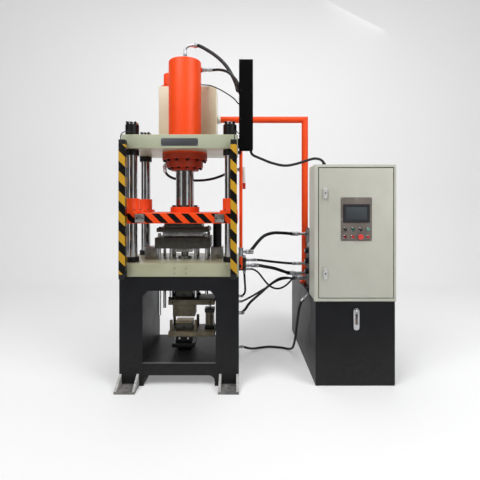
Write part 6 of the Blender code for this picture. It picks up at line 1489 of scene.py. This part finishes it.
# Pump motor
# A totally enclosed motor on feet: a cast body with cooling fins, and a plain fan cowl at its rear.
MOTOR_Z, MOTOR_START, MOTOR_END, MOTOR_R, COWL_START, COWL_R = 0.7853, 0.760, 1.160, 0.110, 1.090, 0.116
FINS = 36

motor_enamel = enamel("blue_grey_alkyd_enamel", "#505D69", "#424F5B", 0.38, 0.12)
axis = at_unit(0, 0, MOTOR_Z)
sides = FINS * 4
rings = turned(((MOTOR_START, 0.060), (MOTOR_START, MOTOR_R, 0.006), (MOTOR_START + 0.030, MOTOR_R),
                (MOTOR_START + 0.030, MOTOR_R), (COWL_START - 0.010, MOTOR_R),
                (COWL_START - 0.010, MOTOR_R - 0.006), (COWL_START, MOTOR_R - 0.006)),
               axis, REAR, sides)
centre = np.array((axis[0], axis[2]))
fins = np.where(np.arange(sides) % 4 < 2, 1.0, 0.90)
rings[4:6][..., [0, 2]] = centre + (rings[4:6][..., [0, 2]] - centre) * fins[:, None]
shaped("motor_body", [rings], motor_enamel, node="pump_motor")
cowl = turned(((COWL_START, COWL_R, 0.002), (MOTOR_END, COWL_R, 0.012), (MOTOR_END, 0.030)), axis, REAR, 72)
shaped("motor_cowl", [cowl], motor_enamel)
feet = [unit_box(-0.115, 0.115, MOTOR_START + 0.060, MOTOR_START + 0.270, ON_LID, 0.6753, 0.003, 0.006),
        unit_box(-0.055, 0.055, MOTOR_START + 0.060, MOTOR_START + 0.270, 0.670, 0.7303, 0.003, 0.006)]
shaped("motor_feet", feet, motor_enamel)

# Pump
# A cast bell housing between the motor and the pump, and a black gear pump on a foot.
BELL_START, BELL_R, PUMP_START, PUMP_HALF = 0.640, 0.090, 0.480, 0.060

cast_black = finish("black_painted_cast_iron", "#101011", 0.55,
                    tones=(("#0D0D0E", "#19191A"), 0.05, 0.35, 0.65), bumps=(0.003, 0.0012, 0.5))
bell = turned(((BELL_START, 0.070), (BELL_START, BELL_R - 0.006), (BELL_START + 0.004, BELL_R),
               (BELL_START + 0.016, BELL_R), (BELL_START + 0.022, BELL_R - 0.010),
               (MOTOR_START - 0.020, BELL_R - 0.010), (MOTOR_START - 0.014, BELL_R),
               (MOTOR_START - GAP, BELL_R)), axis, REAR, 64)
body = unit_box(-PUMP_HALF, PUMP_HALF, PUMP_START, BELL_START + 0.001, MOTOR_Z - PUMP_HALF,
                MOTOR_Z + PUMP_HALF, 0.004, 0.010)
foot = unit_box(-0.040, 0.040, PUMP_START + 0.040, PUMP_START + 0.120, ON_LID, MOTOR_Z - PUMP_HALF + 0.002,
                0.003, 0.004)
shaped("pump_castings", [bell, body, foot], cast_black, node="hydraulic_pump")
bolts = [socket_head((UNIT_X + sx * 0.045, UNIT_Y + PUMP_START, MOTOR_Z + sz * 0.045), 0.008, 0.005, FRONT)
         for sx, sz in CORNERS]
shaped("pump_bolts", bolts, zinc_plate)

# Valve tower
# Stacked valve plates bolted together on the lid: steel plates with three black valves between them, three
# solenoids facing left, and steel fittings for the hoses.
TOWER_LEFT, TOWER_RIGHT, TOWER_FRONT = -0.263, -0.163, 0.465
TOWER_REAR, TOWER_LOW, TOWER_TOP = 0.635, ON_LID, 1.1503
LAYERS = ((0.0, 0.24, "steel"), (0.24, 0.36, "black"), (0.36, 0.44, "steel"), (0.44, 0.56, "black"),
          (0.56, 0.64, "steel"),
          (0.64, 0.76, "black"), (0.76, 1.0, "steel"))
SOLENOIDS_Z, SOLENOID_Y, SOLENOID_R, SOLENOID_END = (0.774, 0.867, 0.955), 0.522, 0.024, -0.293
TOWER_PORTS = ((0.600, 1.0998, 0.082), (0.600, 0.830, 0.082), (0.600, 0.744, 0.120), (0.555, 0.7151, 0.075),
               (0.615, 0.6878, 0.075))

high = TOWER_TOP - TOWER_LOW
layers = {"steel": [], "black": []}
for low, top, kind in LAYERS:
    inset = 0.0 if kind == "steel" else 0.002
    layers[kind].append(unit_box(TOWER_LEFT + inset, TOWER_RIGHT - inset, TOWER_FRONT + inset,
                                 TOWER_REAR - inset,
                                 TOWER_LOW + low * high + 0.0004, TOWER_LOW + top * high - 0.0004, 0.002,
                                 0.003))
shaped("valve_plates", layers["steel"], tool_steel, node="valve_block", slot="cast_black")
shaped("valve_bodies", layers["black"], cast_black)
coils, ends = [], []
for z in SOLENOIDS_Z:
    start = at_unit(TOWER_LEFT, SOLENOID_Y, z)
    reach = TOWER_LEFT - SOLENOID_END
    coils.append(turned(((0, SOLENOID_R), (reach - 0.005, SOLENOID_R, 0.003)), start, LEFT, 40))
    ends.append(turned(((reach - 0.006, 0.012), (reach - 0.001, 0.012), (reach, 0.011)), start, LEFT, 28))
shaped("solenoid_coils", coils, black_plastic)
shaped("solenoid_ends", ends, zinc_plate)
fittings = [part for y, z, reach in TOWER_PORTS for part in stub(
    at_unit(TOWER_LEFT, y, z), -1, reach, ((0, 0.019, 0.014), (reach - 0.026, 0.0165, 0.014)))]
shaped("tower_fittings", fittings, zinc_plate)
bolts = [socket_head(at_unit(x, y, TOWER_TOP - 0.0004), 0.007, 0.0061)
         for x in (TOWER_LEFT + 0.018, TOWER_RIGHT - 0.018)
         for y in (TOWER_FRONT + 0.018, TOWER_REAR - 0.018)]
shaped("tower_bolts", bolts, black_oxide)

# Pressure gauge
# A glycerine gauge on a short stem: a polished case, a white dial with a scale of plain strokes, and a
# black needle.
GAUGE_AT, GAUGE_R, GAUGE_FRONT = (-0.2475, 1.0164), 0.031, 0.417

x, z = UNIT_X + GAUGE_AT[0], GAUGE_AT[1]
face = UNIT_Y + GAUGE_FRONT
case = turned(((0, 0.0095), (0.020, 0.0095), (0.020, GAUGE_R - 0.002), (0.022, GAUGE_R), (0.044, GAUGE_R),
               (0.048, GAUGE_R - 0.002), (0.048, GAUGE_R - 0.005),
               (0.0455, GAUGE_R - 0.006)), (x, UNIT_Y + TOWER_FRONT - GAP, z), FRONT, 56)
shaped("gauge_case", [case], hard_chrome, node="pressure_gauge")
dial = turned(((0, GAUGE_R - 0.0058), (0.0006, GAUGE_R - 0.0058)), (x, face + 0.0030, z), FRONT, 48)
shaped("gauge_dial", [dial], white_mark, slot="chrome")
strokes = []
for a in np.radians(np.linspace(-135, 135, 11)):
    inner, outer = (np.array((x + r * np.sin(a), face + 0.0021, z + r * np.cos(a)))
                    for r in (0.0175, 0.0225))
    strokes.append(carried([inner, outer], 0.0007, (0, 1, 0), 8))
needle = carried([(x + 0.004, face + 0.0016, z + 0.004), (x - 0.013, face + 0.0016, z - 0.013)],
                 (0.0012, 0.0005), (0, 1, 0), 10)
hub = turned(((0, 0.0030), (0.0012, 0.0028)), (x, face + 0.0024, z), FRONT, 20)
shaped("gauge_scale_and_needle", [*strokes, needle, hub], black_plastic)
